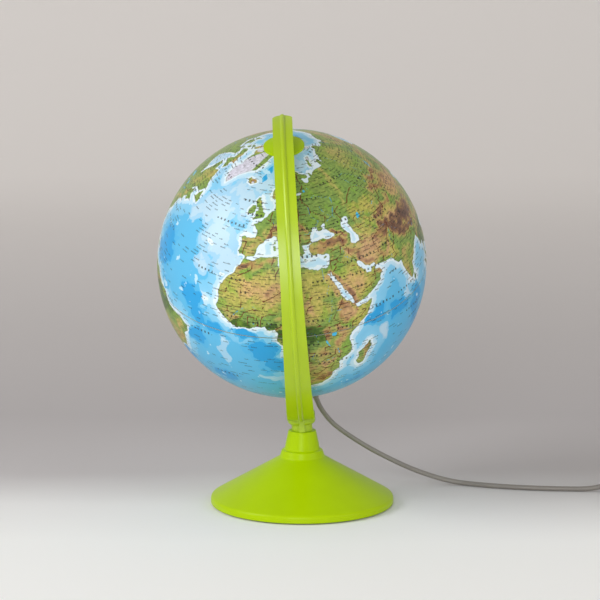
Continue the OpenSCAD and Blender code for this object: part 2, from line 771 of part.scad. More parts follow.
module plug_body() color(cord_grey) translate([plug_at[0], plug_at[1], 0]) {
    intersection() {
        linear_extrude(plug_h) polygon([
            [0, -plug_w / 2 + 1], [1, -plug_w / 2], [10, -plug_w / 2], [22, -plug_w / 2 + 3],
            [plug_l, -7], [plug_l, 7], [22, plug_w / 2 - 3], [10, plug_w / 2], [1, plug_w / 2],
            [0, plug_w / 2 - 1]
        ]);
        rotate([90, 0, 0]) linear_extrude(2 * plug_w, center = true) polygon([
            [0, 0.8], [0.8, 0], [24, 0], [plug_l, 1.8], [plug_l, plug_h - 1.8], [24, plug_h],
            [0.8, plug_h], [0, plug_h - 0.8]
        ]);
    }
    translate([plug_l - 1, 0, plug_h / 2]) rotate([0, 90, 0]) rotate_extrude() polygon([
        [cord_d / 2, 0], [4.6, 0], [4.2, 5], [cord_d / 2 + 0.6, 17], [cord_d / 2, 17]
    ]);
}

module plug_pins() color("#C4C6C9") translate([plug_at[0], plug_at[1], plug_h / 2])
    for (y = [-1, 1]) translate([0, y * pin_gap / 2, 0]) rotate([0, -90, 0]) {
        cylinder(r = pin_r, h = pin_out);
        translate([0, 0, pin_out]) cylinder(r1 = pin_r, r2 = 0.6 * pin_r, h = 1);
    }

base_shell();
base_ballast();
ballast_screws();
base_cover();
base_pad();
arm_screw();
arm_washer();
meridian_arm();
north_pivot_pin();
north_cap();
north_retaining_ring();
north_hemisphere();
south_hemisphere();
equator_ring();
south_bearing_ring();
hub_cover();
lamp_nipple();
lamp_nut();
lampholder_body();
lampholder_shell();
lampholder_contact();
bulb_cap();
bulb_glass();
strain_relief();
cord_run();
switch_case_lower();
switch_case_upper();
switch_rocker();
switch_screws();
cord_lead();
cord_coil();
cord_tie();
cord_tail();
plug_body();
plug_pins();
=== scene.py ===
"""The looks of a lit desktop globe: a printed ball on a lime arm and cone foot.

Its lead leaves the hub below the ball and has a switch, a coil of spare length and a plug.
"""
import math

import bpy
import numpy as np
from mathutils import Matrix, Vector


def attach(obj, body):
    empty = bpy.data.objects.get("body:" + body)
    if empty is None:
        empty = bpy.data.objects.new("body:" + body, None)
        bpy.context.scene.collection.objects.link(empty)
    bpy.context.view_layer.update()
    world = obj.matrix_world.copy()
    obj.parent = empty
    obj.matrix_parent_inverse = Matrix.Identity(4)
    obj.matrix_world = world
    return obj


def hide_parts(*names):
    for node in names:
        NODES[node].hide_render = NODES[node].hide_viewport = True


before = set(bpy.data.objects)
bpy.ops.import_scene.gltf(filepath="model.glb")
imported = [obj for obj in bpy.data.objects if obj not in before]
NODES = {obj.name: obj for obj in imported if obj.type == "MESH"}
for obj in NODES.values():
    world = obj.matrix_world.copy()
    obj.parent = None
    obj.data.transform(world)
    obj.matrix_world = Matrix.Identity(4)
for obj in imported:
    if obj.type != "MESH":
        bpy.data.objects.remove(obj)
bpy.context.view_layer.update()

MM = 0.001

# Sizes that part.scad also has, here in metres and radians
BALL_R = 0.130
BALL_WALL = 0.0015
NORTH_HOLE_R = 0.00602
SOUTH_HOLE_R = 0.01902
BASE_H = 0.073
STEM_TO_BALL = 0.1645
ARM_LEAN = math.radians(3.5)
AXIS_TILT = math.radians(23.5)
CORD_D = 0.005

# The ball's own frame: its middle, leant with the arm, and its polar axis tilted towards the front
BALL_AT = (
    Matrix.Translation((0, 0, BASE_H))
    @ Matrix.Rotation(-ARM_LEAN, 4, "Y")
    @ Matrix.Translation((0, 0, STEM_TO_BALL))
    @ Matrix.Rotation(AXIS_TILT, 4, "X")
)
ARM_LONGITUDE = 16.5  # the meridian that lies under the arm


# ---------- camera ----------

AIM = Vector((-0.00215, 0, 0.20146))
CAMERA_FAR = 2.3
CAMERA_PITCH = math.radians(9.131)
CAMERA_LENS_MM = 142.4
CAMERA_SENSOR_MM = 36


def place_camera():
    """A long lens in front of the globe, which looks a little down on it."""
    lens = bpy.data.cameras.new("camera")
    lens.lens = CAMERA_LENS_MM
    lens.sensor_width = CAMERA_SENSOR_MM
    camera = bpy.data.objects.new("camera", lens)
    back = Vector((0, -math.cos(CAMERA_PITCH), math.sin(CAMERA_PITCH)))
    camera.matrix_world = Matrix.Translation(AIM + CAMERA_FAR * back) @ Matrix.Rotation(
        math.pi / 2 - CAMERA_PITCH, 4, "X"
    )
    bpy.context.collection.objects.link(camera)
    bpy.context.scene.camera = camera


place_camera()


# ---------- the lead ----------

# The same points as in part.scad, in millimetres
RUN = [
    (6.2, 56.1, 109), (9.9, 59.6, 101.1), (14, 63.5, 92.3), (17.1, 66.5, 83.6), (20.6, 68.7, 77.4),
    (25, 70.4, 71.1), (30.5, 71.6, 64.7), (38, 72.8, 58), (48, 74, 50.8), (59, 74.7, 43.4), (71, 75, 36.1),
    (84, 75, 29.3), (97, 75, 22.7), (110, 75, 16.8), (122, 75, 12.1), (134, 74.5, 8.2), (146, 73.6, 5),
    (158, 72, 3), (168, 69, 2.5), (179, 64.2, 2.5), (190, 60.2, 2.5), (202, 56.5, 2.5), (216, 53, 2.5),
    (230, 50.2, 2.5), (245, 48.1, 2.5), (260, 46.6, 2.5), (274, 45.6, 2.5), (286, 45.1, 2.8),
    (296, 45, 4.3), (305, 45, 7), (314, 45, 9),
]
LEAD = [(374, 45, 9), (385, 45, 7.2), (396, 45, 4.7), (407, 45, 3.5), (418, 45, 3.3), (425, 45, 3.3)]
TAIL = [
    (425, -20, 13.3), (414, -20, 13.4), (403, -20, 13.2), (394, -20.2, 11.2), (385, -20.8, 8.4),
    (378, -21.3, 7.1), (370, -21.5, 6.9),
]
# Through the case of the switch
THROUGH_SWITCH = [(312, 45, 8.8), (330, 45, 9), (350, 45, 9), (372, 45, 9)]

# The coil of spare lead, in millimetres
COIL_AT = (425, 10)
COIL_OUTER_R = 35
COIL_INNER_R = 25
COIL_LOW = 3.3  # the lead's middle in the bottom layer
COIL_TURNS = 6.5
POINTS_PER_TURN = 36
# From which turn to which each part of the winding goes on
SPIRAL_IN = (0, 2.6)
FIRST_CLIMB = (2.6, 3)
SPIRAL_OUT = (3, 5.2)
SECOND_CLIMB = (5.6, 5.9)
TUCK_IN = (5.6, 6)


def done(turn, spell):
    """How much of a spell of winding is done at a turn, from 0 to 1."""
    start, end = spell
    return min(max((turn - start) / (end - start), 0), 1)


def smooth(t):
    """Eases a climb at both ends."""
    return t * t * (3 - 2 * t)


def coil_points():
    """Clockwise from the lead's end: in over three turns, out over three, then half a turn on top."""
    layer = CORD_D / MM
    across = COIL_OUTER_R - COIL_INNER_R
    points = []
    for i in range(int(COIL_TURNS * POINTS_PER_TURN) + 1):
        turn = i / POINTS_PER_TURN
        inward = across * (done(turn, SPIRAL_IN) - done(turn, SPIRAL_OUT))
        radius = COIL_OUTER_R - inward - layer * smooth(done(turn, TUCK_IN))
        climbs = smooth(done(turn, FIRST_CLIMB)) + smooth(done(turn, SECOND_CLIMB))
        angle = math.pi / 2 - 2 * math.pi * turn
        points.append((
            COIL_AT[0] + radius * math.cos(angle),
            COIL_AT[1] + radius * math.sin(angle),
            COIL_LOW + layer * climbs,
        ))
    return points


def curve_through(name, points, radius):
    """One open line along the points, with a round section. Each point's radius scales a bevel of 1 m."""
    data = bpy.data.curves.new(name, "CURVE")
    data.dimensions = "3D"
    data.bevel_depth = 1
    data.bevel_resolution = 5
    data.use_fill_caps = True
    data.resolution_u = 8
    line = data.splines.new("NURBS")
    line.points.add(len(points) - 1)
    for knot, p in zip(line.points, points):
        knot.co = (p[0] * MM, p[1] * MM, p[2] * MM, 1)
        knot.radius = radius
    line.use_endpoint_u = True
    line.order_u = 4
    piece = bpy.data.objects.new(name, data)
    bpy.context.collection.objects.link(piece)
    return piece


def length_of(points):
    """The length in metres of a line through points in millimetres."""
    return sum(math.dist(a, b) for a, b in zip(points, points[1:])) * MM


lead_points = RUN[:-1] + THROUGH_SWITCH + LEAD[:-1] + coil_points() + TAIL[1:]
power_cord = curve_through("power_cord", lead_points, CORD_D / 2)
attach(power_cord, "stand")
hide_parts("cord_run", "cord_lead", "cord_coil", "cord_tail")
CORD_LENGTH = length_of(lead_points)


# ---------- geography, as (longitude, latitude) in degrees ----------

LAND = {
    "eurasia": [
        (-9, 37), (-9.5, 38.7), (-8.8, 41), (-9.2, 43.2), (-8, 43.7), (-4, 43.4), (-1.8, 43.4),
        (-1.2, 44.6), (-1.2, 46), (-2.5, 47.3), (-4.5, 48), (-4.6, 48.6), (-1.6, 48.6), (-1.8, 49.7),
        (0, 49.5), (1.6, 50.8), (3.5, 51.4), (4.6, 52.8), (6, 53.4), (8.5, 53.8), (8.6, 55.5), (8.2, 57),
        (10.5, 57.7), (10.3, 56), (9.8, 54.9), (11, 54), (13.5, 54.4), (16.5, 54.5), (18.5, 54.7),
        (20, 54.7), (21, 55.5), (21.2, 57), (22.5, 57.7), (24, 57.2), (24.3, 58.3), (23.5, 59.2),
        (28, 59.5), (30, 60), (28, 60.6), (25, 60.2), (22.8, 59.9), (21.3, 61), (21.5, 63), (24.5, 64.8),
        (25.3, 65.5), (22.2, 65.8), (21.5, 64.5), (18, 62.5), (17.2, 61), (18.8, 60), (17.5, 58.7),
        (16.5, 57), (15.8, 56.1), (14.2, 55.5), (12.9, 55.5), (12, 57.5), (11.2, 59), (10.5, 59.4),
        (9.5, 58.9), (7.5, 58), (5.6, 58.8), (5, 61), (6.5, 62.7), (9.5, 63.8), (12, 65.5), (14.5, 67.7),
        (18, 69.5), (22, 70.5), (26, 71), (31, 70.3), (33, 69.4), (41, 67.7), (41, 66.6), (37, 66.2),
        (33, 66.8), (34.8, 64.5), (38, 64), (40, 64.6), (40, 65.5), (42.5, 66.3), (44, 66.2), (44, 68.5),
        (46, 68), (46.5, 67), (53, 68.7), (60, 69), (68.5, 68.3), (67, 69.5), (68, 72), (72.8, 72.8),
        (73, 71), (72.5, 68), (73.5, 68), (75, 71.5), (80, 72.8), (81, 73.5), (87, 75), (98, 76),
        (104, 77.7), (113, 75.8), (110, 74), (118, 73), (127, 73.4), (130, 71), (140, 72.5), (150, 71.5),
        (160, 69.7), (170, 69.5), (180, 69), (190, 66), (180, 65), (177.5, 62.5), (171, 60), (163.5, 60),
        (162, 58), (163, 56), (160, 53), (156.8, 51), (155.7, 54), (156, 57.5), (160, 61.5), (155, 59.3),
        (149, 59.5), (143, 59.2), (136, 55), (141, 53), (140.5, 50), (138, 46.5), (133, 42.8), (130, 42.3),
        (127.5, 39.7), (129.4, 37), (129, 35.2), (126.3, 34.6), (126.6, 37.5), (125, 38), (124.8, 39.7),
        (121.5, 39), (121.5, 40.7), (118, 39), (119, 37.5), (122.3, 37.2), (119.3, 35), (121.8, 31.5),
        (122, 29.5), (119.5, 25.5), (116.5, 23), (113.5, 22), (110.4, 21), (108, 21.5), (106, 19),
        (108.8, 15.5), (109.2, 12), (107, 10.5), (105, 8.7), (105, 10.2), (102.5, 12), (100.5, 13.5),
        (99.3, 10), (100.5, 7.3), (102, 6.2), (103.5, 4), (103.5, 1.5), (101.3, 3), (100.4, 6), (98.4, 8),
        (98.7, 12), (97.6, 16.3), (94.3, 16), (94, 19), (91.8, 22.5), (89, 21.8), (87, 21), (85, 19.5),
        (82.3, 16.6), (80.2, 15.5), (80.2, 13), (79.8, 10.3), (77.5, 8.1), (76.3, 10), (74.5, 14),
        (73, 17.5), (72.7, 21), (70.5, 20.8), (69, 22.3), (67, 24.8), (61.6, 25.1), (57.3, 25.8),
        (56.5, 27), (54, 26.6), (51.5, 27.8), (50.2, 30), (48, 30), (48.5, 28.5), (50.2, 26.6),
        (50.8, 24.8), (51.4, 26), (51.6, 24.2), (54, 24.2), (56.2, 26.2), (56.5, 24.4), (58.7, 23.6),
        (59.8, 22.4), (57.8, 20.3), (57.7, 19), (55.2, 17.4), (52, 15.6), (48.8, 14), (45, 12.8),
        (43.4, 12.7), (42.8, 15), (42.5, 16.7), (39.1, 21.3), (38, 24), (35.2, 28), (34.9, 29.5),
        (34.3, 27.8), (32.6, 29.9), (32.5, 31.2), (34.2, 31.3), (35.2, 33.2), (36, 36), (34, 36.3),
        (32, 36.1), (30.6, 36.8), (29, 36.3), (27.5, 36.9), (26.4, 38.6), (26.8, 40.5), (29, 41.1),
        (31.4, 41.2), (35, 42), (38, 41), (41.5, 41.5), (41.5, 42.5), (39, 44), (37.5, 45), (38, 46.8),
        (39.2, 47.2), (36, 46.5), (35, 46), (36.5, 45.4), (35, 44.9), (33.6, 44.5), (32.7, 45.5),
        (33.5, 46.1), (30.8, 46.4), (29.7, 45.2), (28.5, 43.8), (27.9, 42), (28.9, 41.3), (26.5, 40.7),
        (24, 40.8), (22.8, 40.4), (23.8, 39.2), (24, 37.7), (22.8, 37.4), (22.5, 36.5), (21.7, 37),
        (21.3, 38.2), (19.4, 40.5), (19.5, 41.8), (16, 43.5), (14.5, 45), (13.6, 45.6), (12.4, 45.3),
        (12.5, 44.2), (14, 42.5), (16, 41.8), (18.4, 40.2), (17, 40.5), (16.6, 39.6), (17.1, 39), (16, 38),
        (15.7, 39.9), (14, 40.9), (12.2, 41.8), (10.5, 43), (10.1, 44), (8.8, 44.4), (7.3, 43.7),
        (5, 43.3), (3.2, 43.2), (3.2, 42), (0.8, 40.9), (-0.3, 39.4), (0, 38.7), (-0.8, 37.7), (-2, 36.8),
        (-4.5, 36.7), (-5.6, 36), (-6.3, 36.8), (-7.5, 37.1),
    ],
    "africa": [
        (-5.9, 35.8), (-2, 35.1), (1, 36.5), (5, 36.8), (9.8, 37.3), (11, 37), (10.3, 34.3), (11, 33.2),
        (15.2, 32.3), (19, 30.3), (20, 31), (20, 32.6), (23, 32.7), (25, 31.6), (29, 30.9), (31, 31.5),
        (32.5, 31.2), (32.6, 29.9), (33.6, 27.8), (35.5, 24), (37.2, 21), (37.4, 18.7), (39.3, 15.7),
        (41.2, 14.6), (43.1, 12.5), (43.3, 11.5), (44.5, 10.4), (47.5, 11.1), (51.2, 11.8), (51, 10.4),
        (48, 4.5), (44.5, 1.5), (41.5, -1.7), (39.5, -4.5), (39.4, -7), (40.6, -10.8), (40.5, -15),
        (36.8, -17.9), (34.8, -19.8), (35.5, -22.5), (35.4, -24), (32.7, -26), (32.3, -28.6), (30.5, -31),
        (27.5, -33.2), (22, -34.2), (20, -34.8), (18.3, -34), (17.9, -32), (16.5, -28.5), (14.5, -22.5),
        (12, -18), (11.8, -15.8), (13.8, -11.5), (13, -9), (12.2, -6), (9.5, -2.3), (9.5, 0.5), (9.8, 3),
        (8.5, 4.7), (6, 4.3), (4.5, 6.3), (1.5, 6.2), (-2, 4.8), (-4, 5.3), (-7.6, 4.4), (-11.3, 6.8),
        (-13.3, 9), (-15, 10.8), (-16.7, 12.5), (-17.4, 14.7), (-16.4, 16.5), (-16.3, 19.3), (-17, 21),
        (-16, 23.7), (-14.5, 26.2), (-12.9, 28), (-10, 29.8), (-9.7, 31.5), (-7.5, 33.6), (-6.3, 35.2),
    ],
    "madagascar": [
        (49.3, -12), (50.4, -15.6), (49, -18.5), (47.2, -25), (45.2, -25.5), (43.5, -23), (44.4, -20),
        (44, -17), (46.5, -15.7), (48, -13.7),
    ],
    "britain": [
        (-5.5, 50.1), (-3.5, 50.4), (1.2, 51), (1.7, 52.7), (0.2, 53), (-0.3, 54.2), (-1.7, 55.6),
        (-2.2, 57.5), (-4, 57.7), (-3.2, 58.6), (-5, 58.6), (-6.2, 57.5), (-5.5, 56.2), (-4.8, 54.8),
        (-3.3, 54.9), (-3, 53.4), (-4.5, 53.2), (-4.2, 52.3), (-5.2, 51.8), (-3, 51.4), (-4.3, 51.1),
    ],
    "ireland": [(-6, 52.2), (-10, 51.6), (-10, 53.4), (-8.3, 55.1), (-6.2, 55.2), (-5.6, 54.4)],
    "iceland": [
        (-22.6, 63.9), (-18.7, 63.4), (-14, 64.7), (-14.8, 66), (-18, 66.1), (-21, 66), (-22.5, 66.4),
        (-24, 65.5), (-22.2, 64.5),
    ],
    "svalbard": [(14, 77), (17, 76.8), (21, 78.5), (27, 80), (17, 80), (11, 79.3)],
    "novaya zemlya": [(52, 71), (57, 70.8), (57, 73), (68, 76.7), (60, 76.3), (53.5, 73)],
    "severnaya zemlya": [(95, 79), (104, 79), (98, 81)],
    "greenland": [
        (-44, 60), (-48, 61), (-51.5, 64), (-54, 67), (-51, 69.5), (-55, 71.5), (-60, 76), (-71, 77),
        (-72.5, 78.3), (-66, 80.2), (-60, 82), (-45, 82.5), (-32, 83.5), (-20, 82.3), (-19, 79), (-19, 76),
        (-22, 72.5), (-25, 70.3), (-32, 68.3), (-38, 65.8), (-41, 63.5), (-42.5, 61),
    ],
    "baffin": [
        (-64, 63.5), (-66, 62), (-72, 64), (-78, 64.5), (-73, 67.5), (-79, 70), (-89, 71), (-86, 73.5),
        (-78, 72.8), (-71, 71), (-67, 69), (-61.5, 66.7), (-68, 66),
    ],
    "ellesmere": [(-62, 82.5), (-75, 83), (-90, 81.8), (-88, 76.5), (-80, 76.3), (-77, 79)],
    "victoria": [(-105, 69), (-116, 69.5), (-118, 71.5), (-112, 73), (-105, 72)],
    "banks": [(-120, 71.5), (-125, 72), (-124, 74.3), (-116, 73.2)],
    "devon": [(-80, 75), (-95, 75), (-95, 76.2), (-88, 76)],
    "somerset": [(-91, 73), (-96, 72), (-96, 74), (-90, 74)],
    "north america": [
        (-168, 65.7), (-162, 66.5), (-166.5, 68.3), (-156.5, 71.3), (-141, 69.7), (-128, 70.2), (-115, 68),
        (-108, 68), (-98, 67.8), (-95, 71.5), (-92, 69.5), (-85, 69.5), (-82, 68), (-87, 66), (-94, 61),
        (-94.5, 59), (-92.5, 57), (-85, 55.3), (-82.3, 55), (-82, 52.5), (-79.3, 51.3), (-79, 54.5),
        (-77, 57), (-78, 62.3), (-73.5, 62), (-70, 59), (-65, 60.3), (-61.5, 57), (-56, 53), (-60, 50),
        (-66, 50.2), (-70, 47.2), (-65, 49), (-64.5, 46.5), (-61, 45.5), (-66, 43.6), (-67, 44.8),
        (-70.5, 43.2), (-70, 41.7), (-74, 40.6), (-75.5, 37.5), (-76, 35), (-81, 31.5), (-80, 27),
        (-80.5, 25.2), (-82.7, 28), (-84, 30), (-89.5, 30), (-90, 29.1), (-94.5, 29.4), (-97.3, 27.5),
        (-97.7, 22.5), (-95.5, 18.5), (-92, 18.5), (-90.5, 21), (-87, 21.4), (-88, 18), (-88.5, 15.8),
        (-83.3, 15), (-83.7, 11), (-81, 8.9), (-79.5, 9.5), (-77.3, 8.5), (-80.3, 7.4), (-83, 8.3),
        (-85.8, 10.2), (-87.7, 13), (-92.3, 14.5), (-95, 16.1), (-99.5, 16.6), (-105.5, 20), (-105.5, 22),
        (-109.5, 25.8), (-112.8, 30), (-114.7, 31), (-109.7, 23.2), (-112, 24.8), (-115, 28.5),
        (-117.2, 32.7), (-120.6, 34.5), (-124, 39.5), (-124.3, 43), (-124, 46.5), (-123, 49), (-128, 51),
        (-133, 55.5), (-137, 58.5), (-145, 60.2), (-151.5, 59.3), (-162, 55), (-158, 58.5), (-162, 58.8),
        (-165.5, 61.5), (-161, 64),
    ],
    "newfoundland": [(-53, 46.8), (-59.2, 47.7), (-57.3, 50.6), (-55.8, 51.5), (-53.5, 49)],
    "cuba": [(-84.8, 21.9), (-80, 23.1), (-74.2, 20.2), (-77.5, 19.9), (-82, 22.6)],
    "hispaniola": [(-74.3, 18.5), (-73, 19.9), (-68.5, 18.7), (-71, 17.9)],
    "south america": [
        (-77.3, 8.5), (-75, 11), (-71.5, 12.3), (-68, 11.5), (-62, 10.7), (-60, 8.3), (-57, 6), (-52, 4.8),
        (-50, 1), (-48.5, -1), (-44, -2.7), (-40, -2.9), (-37, -4.8), (-35, -6.5), (-35, -9), (-38.5, -13),
        (-39.2, -18), (-41, -22), (-45, -23.5), (-48.5, -26), (-49, -28.7), (-52.5, -33), (-54.5, -34.9),
        (-58, -34.2), (-57, -36.5), (-58.5, -38.7), (-62.3, -39), (-65, -41), (-63.7, -42.5), (-67.3, -46),
        (-65.8, -48), (-69, -51.5), (-65.5, -54.8), (-69, -55.3), (-73.5, -52), (-75.5, -48), (-73.5, -42),
        (-73.5, -37.2), (-71.5, -33), (-71.5, -29), (-70.3, -23.5), (-70.4, -18.4), (-76, -14), (-79, -8),
        (-81.3, -5), (-80, -3), (-80.8, -1), (-80, 0.8), (-78.5, 2), (-77.3, 4), (-77.8, 7),
    ],
    "australia": [
        (113.5, -22), (114, -26.5), (115.7, -32), (115, -34.3), (118, -35), (123.5, -33.9), (129, -31.6),
        (134, -32.7), (138, -33), (138.5, -35.5), (140.5, -38), (144.5, -38.3), (146.5, -39), (150, -37.5),
        (153, -32), (153.5, -28), (152.5, -25), (149, -21), (146, -18.8), (145.4, -15), (142.5, -10.8),
        (141.6, -14), (140.8, -17.5), (137, -16), (135.5, -14.8), (137, -12.2), (132.5, -11.3),
        (130.5, -12.6), (129.5, -15), (126, -14), (122.5, -17.5), (119, -20),
    ],
    "tasmania": [(144.7, -40.8), (148.3, -41), (147.8, -43.3), (146, -43.5)],
    "new zealand north": [
        (173, -34.5), (175.5, -37), (178.5, -37.7), (175.2, -41.6), (173.8, -39.3), (174.8, -38),
    ],
    "new zealand south": [
        (172.7, -40.6), (174.3, -41.7), (171, -44.8), (169, -46.6), (166.6, -46), (170, -43),
    ],
    "new guinea": [
        (131, -0.8), (134, -0.8), (135, -3.3), (138, -1.7), (144.5, -3.9), (147.8, -6.3), (150.8, -10.3),
        (143, -9.2), (139, -8), (138, -5.5), (133, -4),
    ],
    "borneo": [
        (109, 1.5), (113, 3.2), (116.8, 7), (119, 5.2), (117.8, 1), (116.3, -3.8), (114, -3.5),
        (110.2, -2.9),
    ],
    "sumatra": [
        (95.3, 5.7), (97.5, 5.2), (100.5, 2.2), (103.8, -1), (106, -3.2), (105.7, -5.8), (102, -4),
        (98.7, 1.5),
    ],
    "java": [(105.2, -6.7), (108.5, -6.6), (112.6, -6.9), (114.4, -7.8), (114.4, -8.7), (108, -7.8)],
    "sulawesi": [
        (119.5, -5.5), (119, -3), (119.9, 0.8), (125, 1.6), (121, 0.4), (120.3, -1), (123.3, -1),
        (121.5, -2.2), (122.7, -5), (121, -3),
    ],
    "luzon": [(120.3, 16), (120.8, 18.5), (122.2, 18.4), (121.6, 15.8), (124, 13), (120.6, 13.9)],
    "mindanao": [(122, 7), (123.5, 8.6), (125.5, 9.8), (126.5, 7.3), (125.4, 5.8), (124, 6.8)],
    "honshu": [
        (131, 34), (133, 35.5), (136.8, 37.2), (139.3, 38.3), (140, 40.5), (141.3, 41.4), (142, 39.5),
        (141, 38), (140.8, 35.7), (138.5, 34.7), (136, 33.6), (135, 34.6), (132.5, 34.2),
    ],
    "kyushu": [(130, 33.5), (131.8, 33.5), (131.4, 31.4), (130.3, 31.3)],
    "shikoku": [(132.3, 33.5), (134.4, 34.2), (133.5, 33.3)],
    "hokkaido": [(140.2, 41.5), (140.5, 43.3), (141.8, 45.3), (145.3, 43.5), (143.3, 42)],
    "sakhalin": [(142, 46), (142, 49), (142, 53.5), (143.2, 52.5), (144.5, 49), (143, 46.7)],
    "taiwan": [(120.2, 23), (121.5, 25.2), (121, 22)],
    "hainan": [(108.7, 19.2), (110.8, 20), (109.6, 18.3)],
    "sri lanka": [(79.8, 8.5), (80.2, 9.7), (81.8, 7.5), (81, 6), (80, 6.2)],
    "sicily": [(12.5, 37.8), (15.5, 38.2), (15.1, 36.7)],
    "sardinia": [(8.4, 39), (8.3, 40.8), (9.5, 41.1), (9.6, 39.2)],
    "corsica": [(8.7, 41.6), (8.7, 42.5), (9.4, 43), (9.4, 41.6)],
    "crete": [(23.6, 35.3), (26.2, 35.2), (24.8, 34.9)],
    "cyprus": [(32.3, 34.9), (34.5, 35.6), (33.2, 34.6)],
    "balearic": [(2.4, 39.5), (3.2, 39.9), (3.2, 39.3)],
    "zealand": [(11.2, 55.3), (12.4, 56.1), (12.2, 55)],
    "gotland": [(18.2, 57), (19, 57.9), (18.8, 57.3)],
    "canary": [(-16.8, 28.2), (-15.4, 28.1), (-16.2, 27.7)],
    "cape verde": [(-24.4, 15.2), (-23.2, 15.3), (-23.6, 14.7)],
    "azores": [(-28.5, 38.8), (-25.3, 37.9), (-27.8, 38.3)],
    "antarctica": [
        (-180, -90), (-180, -78), (-160, -78), (-150, -76.5), (-135, -74.5), (-100, -73.5), (-80, -73),
        (-68, -67), (-58, -63.5), (-60, -67), (-62, -74.5), (-40, -78), (-25, -76), (-10, -71.3),
        (10, -70), (30, -69.5), (50, -66.7), (70, -69), (80, -67.5), (100, -66), (130, -66), (150, -68.3),
        (170, -71.5), (165, -77.5), (180, -78), (180, -90),
    ],
}

LAKES = {
    "caspian": [
        (49, 46.5), (51.5, 47), (53, 46.7), (53, 45.3), (51.2, 44.5), (52.5, 42.5), (53, 40.5), (54, 39),
        (53.8, 37), (51, 36.7), (49, 37.5), (49.2, 39), (49.8, 40.4), (48.5, 42), (47.5, 43), (46.8, 44.6),
        (48, 45.8),
    ],
    "aral": [(58.5, 44.2), (61, 44.5), (61, 46.5), (59, 46)],
    "victoria": [(31.8, -0.5), (33.5, 0.3), (34.2, -0.5), (33.3, -2.3), (31.9, -2)],
    "superior": [(-92, 46.8), (-88.5, 48.8), (-84.5, 47), (-87, 46.6)],
    "michigan": [(-87.5, 42), (-85.8, 45.5), (-87.8, 44.5)],
    "huron": [(-84, 46), (-80, 45.3), (-82.5, 43.2), (-83.3, 45)],
    "erie and ontario": [(-83, 41.8), (-79, 42.9), (-76.4, 44), (-79.7, 43.4)],
    "great bear": [(-123, 65.5), (-119, 66.5), (-118.5, 65.3)],
    "great slave": [(-116, 61.2), (-110, 62.6), (-113.5, 61.2)],
    "winnipeg": [(-97, 50.5), (-98.8, 53.5), (-96.8, 52)],
    "baikal": [(103.8, 51.6), (109.8, 55.6), (108.5, 53.4)],
    "balkhash": [(73.5, 45.6), (79, 46.9), (75, 46.3)],
    "ladoga": [(30.5, 60), (33, 60.7), (31, 61.7)],
    "onega": [(34.6, 61.3), (36.2, 61), (35, 62.5)],
    "vanern": [(12.6, 58.6), (14, 58.8), (13.4, 59.4)],
    "chad": [(13.2, 13.4), (14.6, 13.9), (14.4, 12.6)],
    "tanganyika": [(29.1, -3.4), (29.7, -4.2), (31.2, -8.6), (30.4, -7.8), (29.2, -5.5)],
    "malawi": [(33.9, -9.6), (34.6, -11), (35.3, -14.3), (34.5, -13.5), (34.2, -11.5)],
    "turkana": [(36, 4.6), (36.6, 2.7), (36.1, 3)],
    "volta": [(-0.3, 6.6), (0.1, 8), (-0.9, 8.6)],
}

